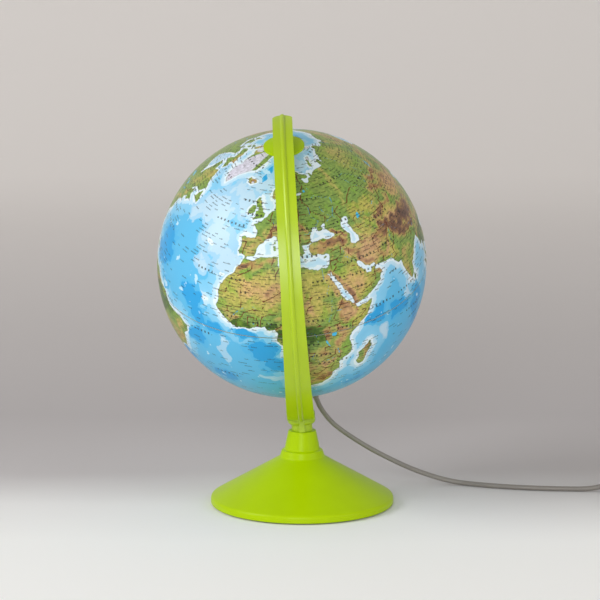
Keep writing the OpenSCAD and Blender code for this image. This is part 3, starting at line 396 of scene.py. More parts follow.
# Ranges and plateaus: from, to, half the width in degrees, height from 0 to 1
RIDGES = [
    (5.5, 44.5, 10, 46.7, 1.4, 0.8), (10, 46.7, 16, 47.3, 1.2, 0.7), (-1.5, 43, 2.5, 42.4, 0.7, 0.6),
    (-8, 42.8, -3, 43, 0.8, 0.4), (-5, 40, -1.5, 40.5, 2.2, 0.42), (-6, 37.2, -2, 38, 1, 0.5),
    (3, 45, 3.5, 46, 1.2, 0.33), (9.5, 44.3, 16, 39.5, 0.8, 0.45), (14.5, 45.5, 20, 42, 1.2, 0.55),
    (20, 42, 22, 38, 1.2, 0.5), (22, 43.3, 27, 42.7, 1, 0.45), (18.5, 49.2, 24.5, 48, 0.9, 0.45),
    (24.5, 48, 26.3, 45.8, 0.9, 0.5), (26.3, 45.8, 22.5, 45.2, 0.9, 0.5), (6.5, 60, 13, 64.5, 1.6, 0.5),
    (13, 64.5, 19, 68.5, 1.3, 0.5), (-4.8, 57, -3.5, 57, 0.6, 0.3), (-19, 64.7, -17, 64.7, 1.8, 0.6),
    (57, 52, 59, 60, 1.2, 0.22), (59, 60, 61, 67.5, 1, 0.25), (29, 38.5, 38, 39.3, 2.3, 0.5),
    (33, 40.8, 41, 40.6, 1, 0.55), (38, 39, 45.5, 39.5, 2.2, 0.75), (40, 43.5, 48, 41.3, 0.9, 0.85),
    (36, 33.5, 36.3, 34.5, 0.5, 0.4), (35, 28, 40, 20, 1.5, 0.55), (41, 19.5, 44.5, 14, 1.6, 0.75),
    (43, 24, 46, 22, 4, 0.35), (56.5, 24.5, 58.5, 22.7, 0.7, 0.5), (45.5, 36, 52, 30.5, 2, 0.7),
    (52, 30.5, 57, 27.8, 1.6, 0.6), (52, 33, 60, 32, 4, 0.5), (49, 37, 55, 36.3, 1, 0.65),
    (56, 37.5, 63, 36, 1.2, 0.5), (60, 28, 66, 28, 2, 0.45), (67, 28, 69.5, 33, 1.3, 0.55),
    (63, 34, 70.5, 35.8, 2, 0.75), (70.5, 35.8, 74, 36.8, 1.6, 0.95), (71, 38.5, 75, 38, 1.8, 1),
    (70, 41.5, 80, 42.3, 1.4, 0.8), (80, 42.3, 88, 43.3, 1.4, 0.75), (74, 36, 79, 32, 1.8, 1),
    (79, 32, 86, 28.8, 1.6, 1), (86, 28.8, 95, 28.8, 1.6, 1), (80, 34, 92, 33, 4.2, 1),
    (92, 33, 100, 33, 4, 0.9), (78, 36.5, 90, 36.5, 1.5, 0.95), (90, 36.5, 103, 36, 1.8, 0.75),
    (100, 32, 101, 25.5, 2.5, 0.75), (102, 25, 108, 27, 2.5, 0.45), (84, 50, 92, 47.5, 2, 0.65),
    (90, 52, 102, 51.5, 1.8, 0.55), (95, 47, 106, 47, 4, 0.5), (107, 52, 120, 56, 3, 0.4),
    (118, 56.5, 135, 55, 2, 0.4), (127, 64, 130, 70, 1.5, 0.4), (135, 62, 150, 64, 3.5, 0.45),
    (150, 63, 165, 67, 2.5, 0.4), (157, 53, 161, 57, 1, 0.5), (95, 65, 105, 66, 6, 0.28),
    (75, 15, 78, 22, 2.6, 0.35), (74, 18, 77, 9.5, 0.7, 0.5), (79, 14, 84, 19, 1, 0.35),
    (75, 22.5, 82, 23, 1.3, 0.35), (93.5, 19, 95, 26, 1, 0.5), (98, 20, 99, 24, 2, 0.45),
    (104, 18, 108, 14, 1, 0.45), (110, 25, 118, 27, 2.5, 0.35), (111, 35, 114, 40, 2, 0.4),
    (105, 35, 111, 38, 3, 0.45), (100, 42, 112, 43, 5, 0.4), (119, 43, 123, 51, 1.5, 0.4),
    (126, 41, 129, 43, 1.5, 0.35), (128, 38, 129, 36, 0.7, 0.35), (136, 35.5, 138.5, 36.8, 0.8, 0.6),
    (138.5, 36.8, 141, 40, 0.7, 0.4), (142.4, 43.5, 143, 43, 0.8, 0.4),
    (120.7, 23, 121.3, 24.5, 0.5, 0.5), (113.5, 1.5, 116.5, 5, 1, 0.45), (97, 4, 104, -4.5, 0.6, 0.5),
    (137, -4, 144, -6, 1.1, 0.9), (144, -6, 148, -9, 0.9, 0.7), (120, 0, 120.5, -3, 0.6, 0.4),
    (107, -7.2, 114, -8, 0.4, 0.5), (-9, 30.8, -4, 33, 1.2, 0.8), (-4, 33, 2, 34.5, 1.6, 0.55),
    (2, 35.3, 9, 35.7, 1.2, 0.5), (5, 23, 7, 24, 2, 0.6), (8, 25, 11, 25.5, 1.2, 0.45),
    (16.5, 20.5, 18.5, 21.5, 1.7, 0.65), (8, 18, 9, 19, 1, 0.45), (22, 17, 23, 18, 1.3, 0.4),
    (24, 13, 24.5, 14.5, 1.3, 0.5), (33.5, 27, 37, 19, 1.2, 0.45), (37, 14, 37.5, 7.5, 2.4, 0.62),
    (39.5, 13.5, 40, 7.5, 1.8, 0.58), (41, 8, 43, 9.5, 1.2, 0.6), (35, 0.5, 37, -1, 1.8, 0.75),
    (29.5, -3.5, 31, 2, 1.5, 0.65), (35, -8, 36.5, -3, 2, 0.6), (33, -10, 34, -14, 1.5, 0.55),
    (26, -12, 31, -11, 3.5, 0.45), (15, -12, 18, -13, 3, 0.6), (15.5, -17, 18, -27, 2.4, 0.5),
    (20, -31, 27, -30, 2.6, 0.55), (27.5, -31, 30.5, -25, 1.5, 0.8), (25, -27, 29, -25.5, 2.5, 0.5),
    (28, -19, 32, -18, 1.8, 0.5), (22, -22, 24, -22, 4, 0.35), (9, 5, 14, 7.5, 1.3, 0.55),
    (8.5, 9.5, 9.5, 10, 1, 0.4), (-12, 11, -8, 8.5, 1.5, 0.4), (10.5, -2, 13, -5, 1.2, 0.3),
    (18, 7.5, 24, 7, 2, 0.3), (-2, 25, 2, 27, 3, 0.25), (-4, 24, 12, 22, 4, 0.3),
    (46.5, -22, 48.5, -15, 1.2, 0.55), (-150, 63.5, -140, 61, 2, 0.7), (-152, 68.3, -141, 68.6, 1.5, 0.5),
    (-135, 62, -127, 55, 2.5, 0.65), (-127, 55, -116, 50, 2, 0.75), (-116, 50, -111, 44, 2.4, 0.75),
    (-111, 44, -106, 38, 2.5, 0.85), (-106, 38, -105.5, 33, 2, 0.6), (-122, 48, -119, 37, 1.2, 0.65),
    (-117, 41, -113, 37, 3.5, 0.55), (-108, 30, -104, 23, 1.8, 0.65), (-104, 23, -97, 19, 2, 0.75),
    (-97, 17.5, -91, 15.5, 1, 0.55), (-90, 15, -84, 10, 0.8, 0.4), (-84, 35, -75, 41.5, 1.2, 0.4),
    (-73, 44, -71, 44.5, 1, 0.35), (-72, 55, -65, 58, 3, 0.3), (-75, 49, -68, 52, 3, 0.25),
    (-70, 70, -65, 66.5, 1.5, 0.5), (-75, 79.5, -80, 82, 3, 0.6), (-105, 41, -100, 35, 3, 0.3),
    (-76, 2, -73, 8, 1.2, 0.75), (-79, -4, -76, 2, 1.1, 0.85), (-78, -8, -75, -12, 1.6, 0.9),
    (-75, -12, -69, -17, 2.2, 1), (-69, -17, -67, -24, 2.6, 1), (-68, -24, -70, -33, 1.8, 0.95),
    (-70, -33, -72, -45, 1, 0.6), (-73, -45, -71, -53, 0.9, 0.45), (-65, 4, -60, 5, 1.8, 0.4),
    (-48, -16, -44, -20, 3.5, 0.45), (-43, -20, -41, -12, 2, 0.45), (-50, -25, -49, -28, 1.5, 0.4),
    (-55, -14, -50, -15, 3, 0.3), (145.5, -17, 151, -28, 1.4, 0.35), (148.5, -36.5, 150, -33, 1.2, 0.5),
    (130, -25.5, 134, -24, 3, 0.35), (118, -22.5, 121, -24, 2.5, 0.35), (168, -45, 172.5, -42, 0.8, 0.7),
    (175, -39, 176, -38.5, 0.7, 0.5),
]

# Deserts and steppes: middle, half spans in degrees, strength
DRY = [
    (-8, 23, 10, 6, 1), (8, 25, 12, 6.5, 1), (24, 25, 10, 6.5, 1), (1, 16, 16, 4.2, 0.6),
    (26, 14, 9, 5, 0.62), (46, 23, 10, 8, 0.9), (57, 32, 7, 5, 0.9), (44, 33, 4, 3, 0.6),
    (34, 39, 5, 2, 0.45), (-4, 39.5, 3, 2.5, 0.4), (70, 28, 3.5, 4, 0.8), (60, 40.5, 8, 3.5, 0.75),
    (66, 47, 13, 4, 0.75), (82, 39, 6, 2.4, 1), (104, 43, 11, 4.5, 0.9), (46, 6, 5, 6, 0.8),
    (40, 11, 4, 4, 0.7), (35, -3, 4, 5, 0.5), (19, -24, 5, 6, 0.75), (22, -31, 4, 3, 0.6),
    (14, -20, 2, 6, 0.7), (31, -20, 7, 6, 0.5), (130, -25, 12, 6, 0.95), (118, -25, 4, 5, 0.7),
    (-68, -43, 3, 8, 0.7), (-69.5, -23, 1.5, 6, 0.9), (-111, 34, 7, 7, 0.75), (-101, 38, 4, 8, 0.35),
    (-41, -9, 3, 4, 0.5), (-103, 25, 4, 4, 0.6), (-63, -27, 4, 6, 0.3), (78, 18, 4, 5, 0.25),
]

# Forests: middle, half spans in degrees, strength
LUSH = [
    (22, 0, 8.5, 4.4, 0.95), (12, 1.5, 4, 3.4, 0.95), (-6, 6, 8, 1.8, 0.85), (7, 5.6, 4, 1.7, 0.85),
    (27, 4, 4, 2, 0.6), (-63, -4, 11, 7, 1), (-50, -2, 7, 5, 0.6), (-84, 12, 5, 4, 0.6),
    (100, 17, 6, 7, 0.8), (108, 22, 8, 4, 0.5), (115, 1, 8, 6, 1), (100, 0, 5, 5, 1), (140, -5, 8, 4, 1),
    (124, 10, 4, 7, 0.9), (-77, 60, 14, 6, 0.35), (-95, 58, 16, 5, 0.35), (95, 62, 25, 6, 0.3),
    (120, 58, 15, 6, 0.3), (137, 37, 5, 5, 0.6), (-75, 37, 8, 6, 0.35), (49, -17, 2, 5, 0.6),
    (81, 7.5, 1.5, 1.5, 0.7), (16, -5, 5, 3, 0.6), (36, 8, 2, 2, 0.4),
]

# Ice sheets: middle, half spans in degrees, strength
ICE = [
    (-42, 72, 11, 11, 1), (-70, 81, 14, 3, 0.7), (0, -84, 180, 13, 1), (-17.5, 64.5, 1.6, 0.7, 0.6),
    (20, 79, 6, 1.6, 0.6), (62, 75, 4, 2, 0.5), (98, 79.5, 6, 1.5, 0.6),
]

# Borders between countries
BORDERS = [
    [(-2.2, 35.1), (-1.5, 32.3), (-3.5, 31), (-8.7, 28.7), (-8.7, 27.3), (-4.8, 25), (1.2, 21.2),
     (4.2, 19.2), (7.5, 20.8), (12, 23.5)],
    [(12, 23.5), (10, 24.5), (9.9, 27), (9.5, 30.2), (9, 32), (7.5, 33.8), (8.4, 35.2), (8.6, 36.9)],
    [(9.5, 30.2), (10.3, 31.5), (11.5, 33.1)],
    [(25, 31.6), (25, 22), (36.9, 22)],
    [(25, 22), (25, 20), (24, 20), (24, 19.5), (16, 23.4), (15, 23), (12, 23.5)],
    [(15, 23), (15.5, 20.5), (15.5, 16.8), (13.6, 13.7), (10, 13.3), (6.8, 13.1), (3.6, 11.7), (2.7, 9),
     (2.7, 6.4)],
    [(24, 19.5), (24, 15.7), (22.9, 15.6), (21.9, 12.6), (22.9, 11), (19, 9), (15.5, 7.5), (14.2, 12.5),
     (13.2, 9.6), (11, 6.6), (8.6, 4.8)],
    [(-4.8, 25), (-6.5, 25), (-5.5, 15.5), (-9.5, 15.4), (-12.2, 14.8), (-14.5, 16.6), (-16.4, 16.1)],
    [(-8.7, 27.3), (-8.7, 26), (-12, 26), (-12, 23.4), (-13, 23), (-13, 21.3), (-17, 21.3)],
    [(-12.2, 14.8), (-11.4, 12.4), (-8.5, 11.4), (-8, 10.2), (-5.5, 10.4), (-4.5, 13), (-0.5, 15),
     (2.2, 12.4), (3.6, 11.7)],
    [(4.2, 19.2), (4.2, 16.8), (3.5, 15.4), (0.2, 15)],
    [(-3.1, 5.1), (-2.8, 9.7), (-2.8, 11), (0, 11.1), (0.5, 8), (1.2, 6.1)],
    [(1, 11), (1.6, 9), (1.6, 6.2)],
    [(-8, 10.2), (-8.2, 7.6), (-7.5, 4.4)],
    [(-13.3, 9), (-11, 10), (-10.3, 8.4), (-11.4, 6.9)],
    [(-16.7, 12.4), (-13.7, 12.6), (-11.4, 12.4)],
    [(9.8, 2.3), (13.3, 2.2), (16.2, 2), (16.2, 3.6), (15.5, 7.5)],
    [(15.5, 3.5), (18.6, 3.5), (22.5, 4.1), (27.4, 5.1), (30.8, 3.5), (34, 4.2), (36, 4.5)],
    [(18.6, 3.5), (17.7, -0.5), (16.2, -2.2), (15.3, -4.3), (13.1, -4.6), (12.2, -5.8)],
    [(11.1, -3.9), (14.4, -2.2), (14, 1.4), (13.3, 2.2)],
    [(12.4, -6), (16.6, -5.9), (17.6, -8.1), (21.8, -7.3), (22, -11.2), (24, -11), (24, -13), (22, -13),
     (22, -16.2), (23.4, -17.6)],
    [(24, -11), (27.2, -12), (29.8, -13.4), (29, -12.4), (28.7, -9.5), (28.6, -8.5), (30.8, -8.3),
     (33, -9.4), (33.2, -14)],
    [(11.8, -17.3), (14, -17.4), (23.4, -17.6), (25.3, -17.8)],
    [(21, -18), (21, -22), (20, -22), (20, -28.4), (16.5, -28.6)],
    [(20, -25), (22.8, -25.5), (25.7, -25.6), (29.4, -22.2), (31.3, -22.4), (32, -25.8), (32.8, -26.8)],
    [(29.4, -22.2), (27, -20.5), (25.3, -17.8), (27, -17.9), (28.9, -15.9), (30.4, -15.6), (33, -16.5),
     (32.8, -20), (31.3, -22.4)],
    [(30.4, -15.6), (33.2, -14), (35, -17), (35.8, -16), (34.6, -12), (34.6, -11.6), (40.4, -10.5)],
    [(27, -29.6), (28.7, -28.7), (29.4, -29.6), (28, -30.6), (27, -29.6)],
    [(29.6, -1.3), (33.9, -1), (37.6, -3.5), (39.2, -4.7)],
    [(33.9, -1), (34, 0.3), (35, 1.9), (34, 4.2)],
    [(36, 4.5), (38.1, 3.6), (41.9, 3.9), (45, 5), (48, 8), (44, 9), (42.9, 11)],
    [(41.9, 3.9), (41, 2.8), (41, -0.9), (41.6, -1.7)],
    [(36, 4.5), (33, 7.9), (34.2, 10.5), (36.3, 13.5), (36.5, 14.3), (38.5, 18)],
    [(36.5, 14.3), (39.5, 14.5), (42.4, 12.5)],
    [(30.8, 3.5), (31.3, 2.2), (29.7, 0.5), (29.3, -2), (29.3, -4.5), (30.8, -8.3)],
    [(22.9, 11), (24.5, 8.7), (27.4, 5.1)],
    [(-1.8, 43.3), (3.1, 42.4)],
    [(-8.8, 41.9), (-6.3, 41.8), (-7, 39.6), (-7.4, 37.2)],
    [(2.5, 51.1), (6, 49.5), (8.1, 49), (7.6, 47.6), (9.6, 47.5), (10.4, 46.7), (7, 45.9), (6.1, 46.2),
     (7.6, 47.6)],
    [(7, 45.9), (7, 44.2), (7.5, 43.8)],
    [(6, 49.5), (6, 51.5), (7.1, 53.3)],
    [(14.3, 54), (14.8, 51), (12.2, 50.2), (13.8, 48.7), (16.9, 48.7), (18.8, 49.6), (14.8, 51)],
    [(9.6, 47.5), (13, 47.6), (13.8, 48.7)],
    [(16.9, 48.7), (17, 48), (16, 46.7), (12.5, 46.7), (10.4, 46.7)],
    [(17, 48), (22.1, 48.4), (22.5, 49.1), (18.8, 49.6)],
    [(22.1, 48.4), (20.3, 46.1), (16.5, 46.4), (13.8, 45.5)],
    [(20.3, 46.1), (22.6, 44.3), (22.4, 42.3), (21, 40.9), (26.3, 41.3), (28, 42)],
    [(20.3, 46.1), (19, 45.9), (19, 43.5), (18.5, 42.5)],
    [(20, 39.7), (21, 40.9)],
    [(22.6, 44.3), (26, 43.9), (28.5, 43.7)],
    [(22.1, 48.4), (26.6, 48.3), (28.2, 45.5), (29.6, 45.3)],
    [(22.5, 49.1), (23.6, 51.5), (23.9, 53.9), (22.8, 54.4), (19.8, 54.4)],
    [(23.6, 51.5), (30.5, 51.4), (31.8, 52.1), (31, 54.6), (28.2, 56.1), (27.4, 57.6), (28, 59.4)],
    [(21, 56.1), (26.6, 55.7), (28.2, 56.1)],
    [(24.3, 57.9), (27.4, 57.6)],
    [(31.8, 52.1), (34, 51.5), (38, 49.9), (40, 49), (38.3, 47.3)],
    [(28, 60.5), (31.5, 62.9), (29, 66.5), (30, 69.4)],
    [(11.5, 59), (12.2, 61.5), (12, 63.5), (15.5, 66.5), (20.5, 69), (24.1, 65.8)],
    [(20.5, 69), (26, 70), (29, 69)],
    [(36, 36), (38.2, 36.8), (42.4, 37.2), (44.8, 37.3), (44.5, 39.7), (43.5, 41.1), (41.6, 41.5)],
    [(44.5, 39.7), (46.5, 38.9), (48.9, 38.4)],
    [(40, 43.4), (46.5, 41.9), (48.5, 41.8)],
    [(43.5, 41.1), (45, 41.3), (46.5, 41.9)],
    [(42.4, 37.2), (41.2, 34.5), (38.8, 33.4), (39.2, 32.2), (37, 31.5), (38, 30.5), (36, 29.2),
     (35, 29.4)],
    [(35, 29.5), (35.5, 31.5), (35.6, 33.3), (38.8, 33.4)],
    [(39.2, 32.2), (42, 31.1), (44.7, 29.2), (46.5, 29.1), (48.4, 28.5)],
    [(44.8, 37.3), (46.2, 35.7), (45.5, 33.9), (47.8, 31.8), (48.5, 30)],
    [(42.8, 16.4), (44, 17.4), (47, 17), (52, 19), (55, 20), (55.7, 22), (52.6, 22.9), (51.6, 24.2)],
    [(52, 19), (53.1, 16.7)],
    [(55.7, 22), (55.8, 24.2), (56.3, 25)],
    [(53.9, 37.3), (57.3, 38.2), (61.2, 36.6), (61.1, 35.3), (60.6, 33.5), (61.8, 31), (60.9, 29.8),
     (63.2, 27.2), (61.6, 25.2)],
    [(60.9, 29.8), (66.4, 29.8), (69.3, 31.9), (71.3, 34.6), (74.5, 37.1), (71.5, 37.6), (67.8, 37.2),
     (64.5, 36.3), (61.1, 35.3)],
    [(68.2, 23.7), (71, 24.4), (70, 27.8), (73.3, 29.9), (74.6, 31.5), (75.3, 32.5), (74, 33.5),
     (74.5, 37.1), (79, 34.5), (78.8, 31.5), (81, 30.2), (85, 28.3), (88.2, 27.9), (92, 27.8), (97, 28.3)],
    [(80.2, 28.9), (84, 27.4), (88.1, 26.5), (88.2, 27.9)],
    [(88.9, 22), (88.1, 26.5), (89, 26.2), (92.3, 25), (92.3, 20.8)],
    [(49, 46.4), (47, 49.9), (51.5, 51.4), (58.5, 51), (61.5, 53), (69, 55.2), (77, 53.4), (80, 50.9),
     (87.4, 49.1), (85.5, 48), (82.5, 45.2), (80.2, 45.1), (80.2, 42.2), (76, 40.4), (73.7, 39.5),
     (74.5, 37.1)],
    [(56, 41.3), (56, 45), (58.5, 45.6), (62, 43.5), (66, 42.3), (69, 41.3), (71, 42.8), (75.5, 42.9),
     (80.2, 42.2)],
    [(56, 41.3), (60, 42.2), (62, 40.5), (66.5, 37.4)],
    [(73.7, 39.5), (69.5, 39.6), (67.8, 37.2)],
    [(87.4, 49.1), (92, 50.8), (98.3, 52.1), (102.3, 50.5), (107, 49.8), (114, 50.2), (116.7, 49.8),
     (119.8, 47), (112, 44.5), (105, 41.7), (97, 42.7), (91, 45.2), (87.4, 49.1)],
    [(116.7, 49.8), (120, 53), (126, 52), (128, 49.6), (134.8, 48.4), (133, 45), (130.7, 42.5)],
    [(130.7, 42.5), (126, 41.5), (124.3, 40)],
    [(97, 28.3), (94, 24.8), (93.3, 22.3), (92.3, 21)],
    [(97, 28.3), (98.7, 26), (98, 24), (100.5, 21.5), (98, 18), (98.8, 15), (98.8, 10.5)],
    [(100.5, 21.5), (102.2, 22.5), (105.3, 23.2), (108, 21.6)],
    [(100.5, 20.2), (102, 18), (104.8, 17.3), (105.6, 14.4), (102.5, 13.8), (102.9, 11.8)],
    [(102.2, 22.5), (104.5, 19.5), (107.3, 15.8), (107.5, 12.3), (104.5, 10.5)],
    [(141, -2.6), (141, -9.2)],
    [(109.6, 2), (112, 1), (115.5, 3), (117.6, 4.1)],
    [(-123, 49), (-109, 49.2), (-95, 49), (-89, 48), (-84.3, 46.3), (-82.4, 43), (-79, 43), (-75, 45),
     (-71, 45.2), (-69, 47.4), (-67.5, 45.3)],
    [(-141, 69.7), (-141, 60.3)],
    [(-117.1, 32.5), (-111, 31.3), (-106.5, 31.8), (-103, 29), (-99.5, 27.5), (-97.2, 25.9)],
    [(-92.2, 14.5), (-90.5, 16), (-90.5, 17.8), (-88.5, 18)],
    [(-51.6, 4), (-54, 2.3), (-60, 4.9), (-64, 4), (-67, 1.2), (-69.5, -1), (-70, -4.2), (-73.5, -7.5),
     (-70.6, -11), (-65.3, -10), (-60, -13.8), (-58, -17)],
    [(-58, -17), (-57.8, -20.5), (-54.3, -24), (-54, -27), (-57.5, -30.2), (-53.4, -33.7)],
    [(-71.5, 12), (-72.5, 7.5), (-67.5, 6.2), (-67, 1.2)],
    [(-80.3, -3.4), (-78.5, -4.7), (-75.2, -1.5), (-72, -2.4), (-70, -4.2)],
    [(-75.2, -1.5), (-78.8, 1.4)],
    [(-70.4, -18.3), (-69, -17.5), (-69, -12.5), (-70.6, -11)],
    [(-69, -17.5), (-68, -22.5), (-62.5, -22.2), (-58, -20)],
    [(-68, -22.5), (-68.5, -27), (-70, -33), (-71.5, -38), (-72, -45), (-72.3, -51), (-68.5, -52.3)],
    [(-62.5, -22.2), (-57.7, -25.3), (-54.5, -25.6)],
    [(-57.5, -30.2), (-58.2, -33)],
]

# Great rivers
RIVERS = [
    [(31, 31.2), (31, 26.5), (32.8, 24), (31.5, 21), (31, 18.5), (33.8, 18.5), (32.5, 15.6), (32.5, 11),
     (31, 7), (31.5, 3)],
    [(32.5, 15.6), (35, 11.5), (37.3, 12)],
    [(-10, 9.5), (-8, 12.5), (-3, 16.7), (0, 16.3), (3.5, 11.7), (6.7, 7.8), (6, 4.8)],
    [(12.5, -6), (16, -4), (18, -0.5), (22, 2.1), (25.2, 0.5), (26, -5), (29, -11)],
    [(36.2, -18.8), (33, -16), (27, -17.8), (23, -14.5), (24.3, -11.5)],
    [(16.5, -28.6), (22, -28.9), (28, -30)],
    [(47.8, 46), (44.5, 48.6), (48.5, 53), (49.2, 55.8), (44, 56.3), (38, 58), (34, 57)],
    [(29.5, 45.2), (27, 44.1), (21, 44.8), (19, 47.5), (13, 48.6), (8.5, 48)],
    [(8.5, 47.5), (7.8, 49.5), (6.5, 51.8)],
    [(32.5, 46.5), (35, 48.3), (30.7, 50.5), (31, 54)],
    [(39.5, 47.2), (43.3, 48.6), (39.5, 51.5), (38.5, 53.8)],
    [(72, 66.5), (66.5, 64), (69, 61), (76, 61), (84, 56), (85, 52.5)],
    [(69, 61), (73.5, 55), (82, 49.9), (87, 48)],
    [(83, 71), (87, 66), (90, 60), (92.8, 56), (94, 52)],
    [(127, 73), (124, 67), (129.5, 62.5), (118, 60), (106, 54)],
    [(59, 43.8), (62, 40), (68, 37.2), (73, 37.3)],
    [(61, 46.2), (67, 44.5), (69, 41), (73, 41)],
    [(67.8, 24.2), (68.5, 27.5), (71, 30), (72.5, 34), (75, 35.3), (80, 32)],
    [(89.5, 22.5), (86, 25.4), (81.5, 25.5), (78.5, 29.5)],
    [(90, 24), (93, 26.6), (95.5, 28.5), (88, 29.3)],
    [(48, 30.3), (44.5, 33), (42.5, 37)],
    [(47.5, 31), (41, 34.5), (38.5, 37)],
    [(121, 32), (116, 30), (111.5, 30.5), (105, 29), (101, 26.5), (97, 33)],
    [(118.5, 38), (114, 35), (110.5, 35), (110.5, 40), (106, 38.5), (102, 34)],
    [(-89.5, 29.5), (-91, 35), (-90.2, 39), (-94, 46)],
    [(-90.2, 39), (-95, 40), (-100, 46), (-110, 47.7)],
    [(-50.5, 0), (-58, -2.8), (-67, -3), (-73.5, -4)],
    [(-58.5, -34), (-60, -31), (-58.8, -27.3), (-50, -20)],
    [(-61, 8.8), (-67.5, 7)],
    [(-134, 69), (-125, 64), (-116, 61.2)],
]

# Azure basins of the oceans: middle, half spans in degrees, strength
DEEPS = [
    (-58, 26, 9, 9, 1), (-64, 21, 6, 4, 1), (-32, 14, 6, 7, 1), (-27, 5, 5, 5, 0.9),
    (-18, 0.5, 7, 3, 0.85), (-29, -9, 6, 5, 0.9), (-4, 0.5, 7, 2.6, 0.9), (3, -9, 7, 6, 1),
    (7, -18, 6, 5, 1), (-20, -32, 9, 6, 0.8), (52, 0.5, 5, 3.5, 1), (56, 5, 4, 3, 0.7),
    (80, -8, 5, 10, 1), (66, -1, 7, 5, 0.95), (-52, 10, 5, 4, 0.62), (90, -25, 12, 9, 0.8),
    (45, -38, 9, 4, 0.7), (-7, 67, 3, 1.6, 0.8), (-3, 72, 4, 1.6, 0.8), (-45, -30, 7, 7, 0.8),
    (-20, -50, 25, 5, 0.6), (-150, 22, 25, 14, 0.9), (-120, -22, 25, 14, 0.8), (150, 25, 14, 11, 0.9),
    (165, -28, 10, 9, 0.7), (-170, -5, 14, 9, 0.8), (-95, -15, 10, 9, 0.7), (165, 45, 14, 6, 0.8),
    (60, -52, 25, 6, 0.7), (-85, 15, 6, 3, 0.6),
]

# Pale rises and shelves of the oceans. In the North Atlantic, on the ball's upper left, they are partly
# printed shallows and partly a painted highlight where the lamps' glare falls
PALES = [
    (-34, 50, 16, 8, 1), (-25, 41, 10, 8, 1), (-14, 33, 9, 8, 0.9), (-22, 60, 14, 6, 0.8),
    (0, 85, 180, 8, 0.9), (-15, -14, 3, 12, 0.55), (-28, 30, 6, 5, 0.8), (57.5, -11, 2.4, 5, 1),
    (73, 4, 1.1, 7, 0.9), (5, -27, 7, 1.8, 0.7), (48, -20, 2, 6, 0.7), (-64, 32, 1.6, 1.6, 0.9),
    (-48, 45, 6, 4, 0.9), (10, 70, 14, 5, 0.7), (-8, 65, 18, 5, 1), (-13, 56, 9, 7, 1),
    (40, 74, 16, 5, 0.9), (75, -50, 6, 6, 0.8), (160, 5, 14, 3, 0.6), (-150, -15, 8, 4, 0.6),
    (-65, 60, 10, 8, 0.6), (-85, 60, 8, 5, 0.9), (135, 5, 4, 10, 0.6),
]


# ---------- the printed ball ----------


# The flat print shifts in latitude as it is drawn into a dome. The shift is half a wave and a whole wave
# from the equator to the pole, with these heights in radians
HALF_WAVE = 0.0249
WHOLE_WAVE = 0.0387


def printed(places):
    """Where a place lands on the dome, up to about three degrees from its true latitude."""
    lon, lat = np.asarray(places, float).T
    turn = np.radians(lat)
    shift = HALF_WAVE * np.sin(2 * turn) + WHOLE_WAVE * np.sin(4 * turn)
    return np.stack([lon, lat - np.degrees(shift)], 1)


def directions(places):
    """Unit vectors in the ball's polar frame, whose -Y side is under the arm."""
    lon, lat = np.radians(places).T
    turn = lon - math.radians(ARM_LONGITUDE)
    return np.stack([np.cos(lat) * np.sin(turn), -np.cos(lat) * np.cos(turn), np.sin(lat)], 1)


def in_blocks(work, places, size=6000):
    """Runs the work on a few thousand places at a time, to save memory."""
    return np.concatenate([work(places[i:i + size]) for i in range(0, len(places), size)])


def nearness(here, starts, ends):
    """The cosine of the angle from each direction to each arc between a start and an end."""
    normal = np.cross(starts, ends)
    normal /= np.linalg.norm(normal, axis=1, keepdims=True)
    beside = (here @ np.cross(normal, starts).T > 0) & (here @ np.cross(ends, normal).T > 0)
    across = np.sqrt(np.maximum(1 - (here @ normal.T) ** 2, 0))
    return np.where(beside, across, np.maximum(here @ starts.T, here @ ends.T))


def degrees_to(places, lines):
    """Degrees from each place to the nearest of the lines."""
    lines = [printed(line) for line in lines]
    starts = directions(np.concatenate([line[:-1] for line in lines]))
    ends = directions(np.concatenate([line[1:] for line in lines]))

    def work(block):
        near = nearness(directions(block), starts, ends).max(1)
        return np.degrees(np.arccos(np.clip(near, -1, 1)))

    return in_blocks(work, places)


def inside(places, outlines):
    """Whether each place is inside an outline, by how many edges lie to the east of it."""
    rings = [printed(outline + outline[:1]) for outline in outlines]
    x1, y1 = np.concatenate([ring[:-1] for ring in rings]).T
    x2, y2 = np.concatenate([ring[1:] for ring in rings]).T
    slope = (x2 - x1) / np.where(y2 == y1, 1, y2 - y1)

    def work(block):
        x, y = block[:, :1], block[:, 1:]
        between = (y1 > y) != (y2 > y)
        edge = x1 + (y - y1) * slope
        here = (between & (x < edge)).sum(1) % 2
        a_turn_on = (between & (x + 360 < edge)).sum(1) % 2
        return (here | a_turn_on).astype(bool)

    return in_blocks(work, places)


def shore(places, outlines):
    """Degrees from the shore, positive inside the outlines."""
    lines = []
    for outline in outlines:
        ring = outline + outline[:1]
        if ring[0][1] == -90:
            ring = ring[1:-2]
        lines.append(ring)
    away = degrees_to(places, lines)
    return np.where(inside(places, outlines), away, -away)


def relief(places):
    """Height from 0 to 1, the greatest of the ridges at each place."""
    rows = np.array(RIDGES)
    starts = directions(printed(rows[:, 0:2]))
    ends = directions(printed(rows[:, 2:4]))
    width = np.radians(rows[:, 4])

    def work(block):
        square = 2 - 2 * nearness(directions(block), starts, ends)
        return (rows[:, 5] * np.exp(-square / width ** 2)).max(1)

    return in_blocks(work, places)


def wander(places):
    """Shifts each place by up to 1.6 degrees, so that the listed ovals and lines look natural."""
    lon, lat = places.T
    east = np.sin(0.55 * lat + 1.3 * np.sin(0.31 * lon)) + 0.6 * np.sin(0.9 * lon + 0.7 * lat)
    north = np.sin(0.47 * lon + 1.7 * np.sin(0.29 * lat)) + 0.6 * np.sin(1.1 * lon - 0.8 * lat)
    return places + np.stack([east, 0.8 * north], 1)


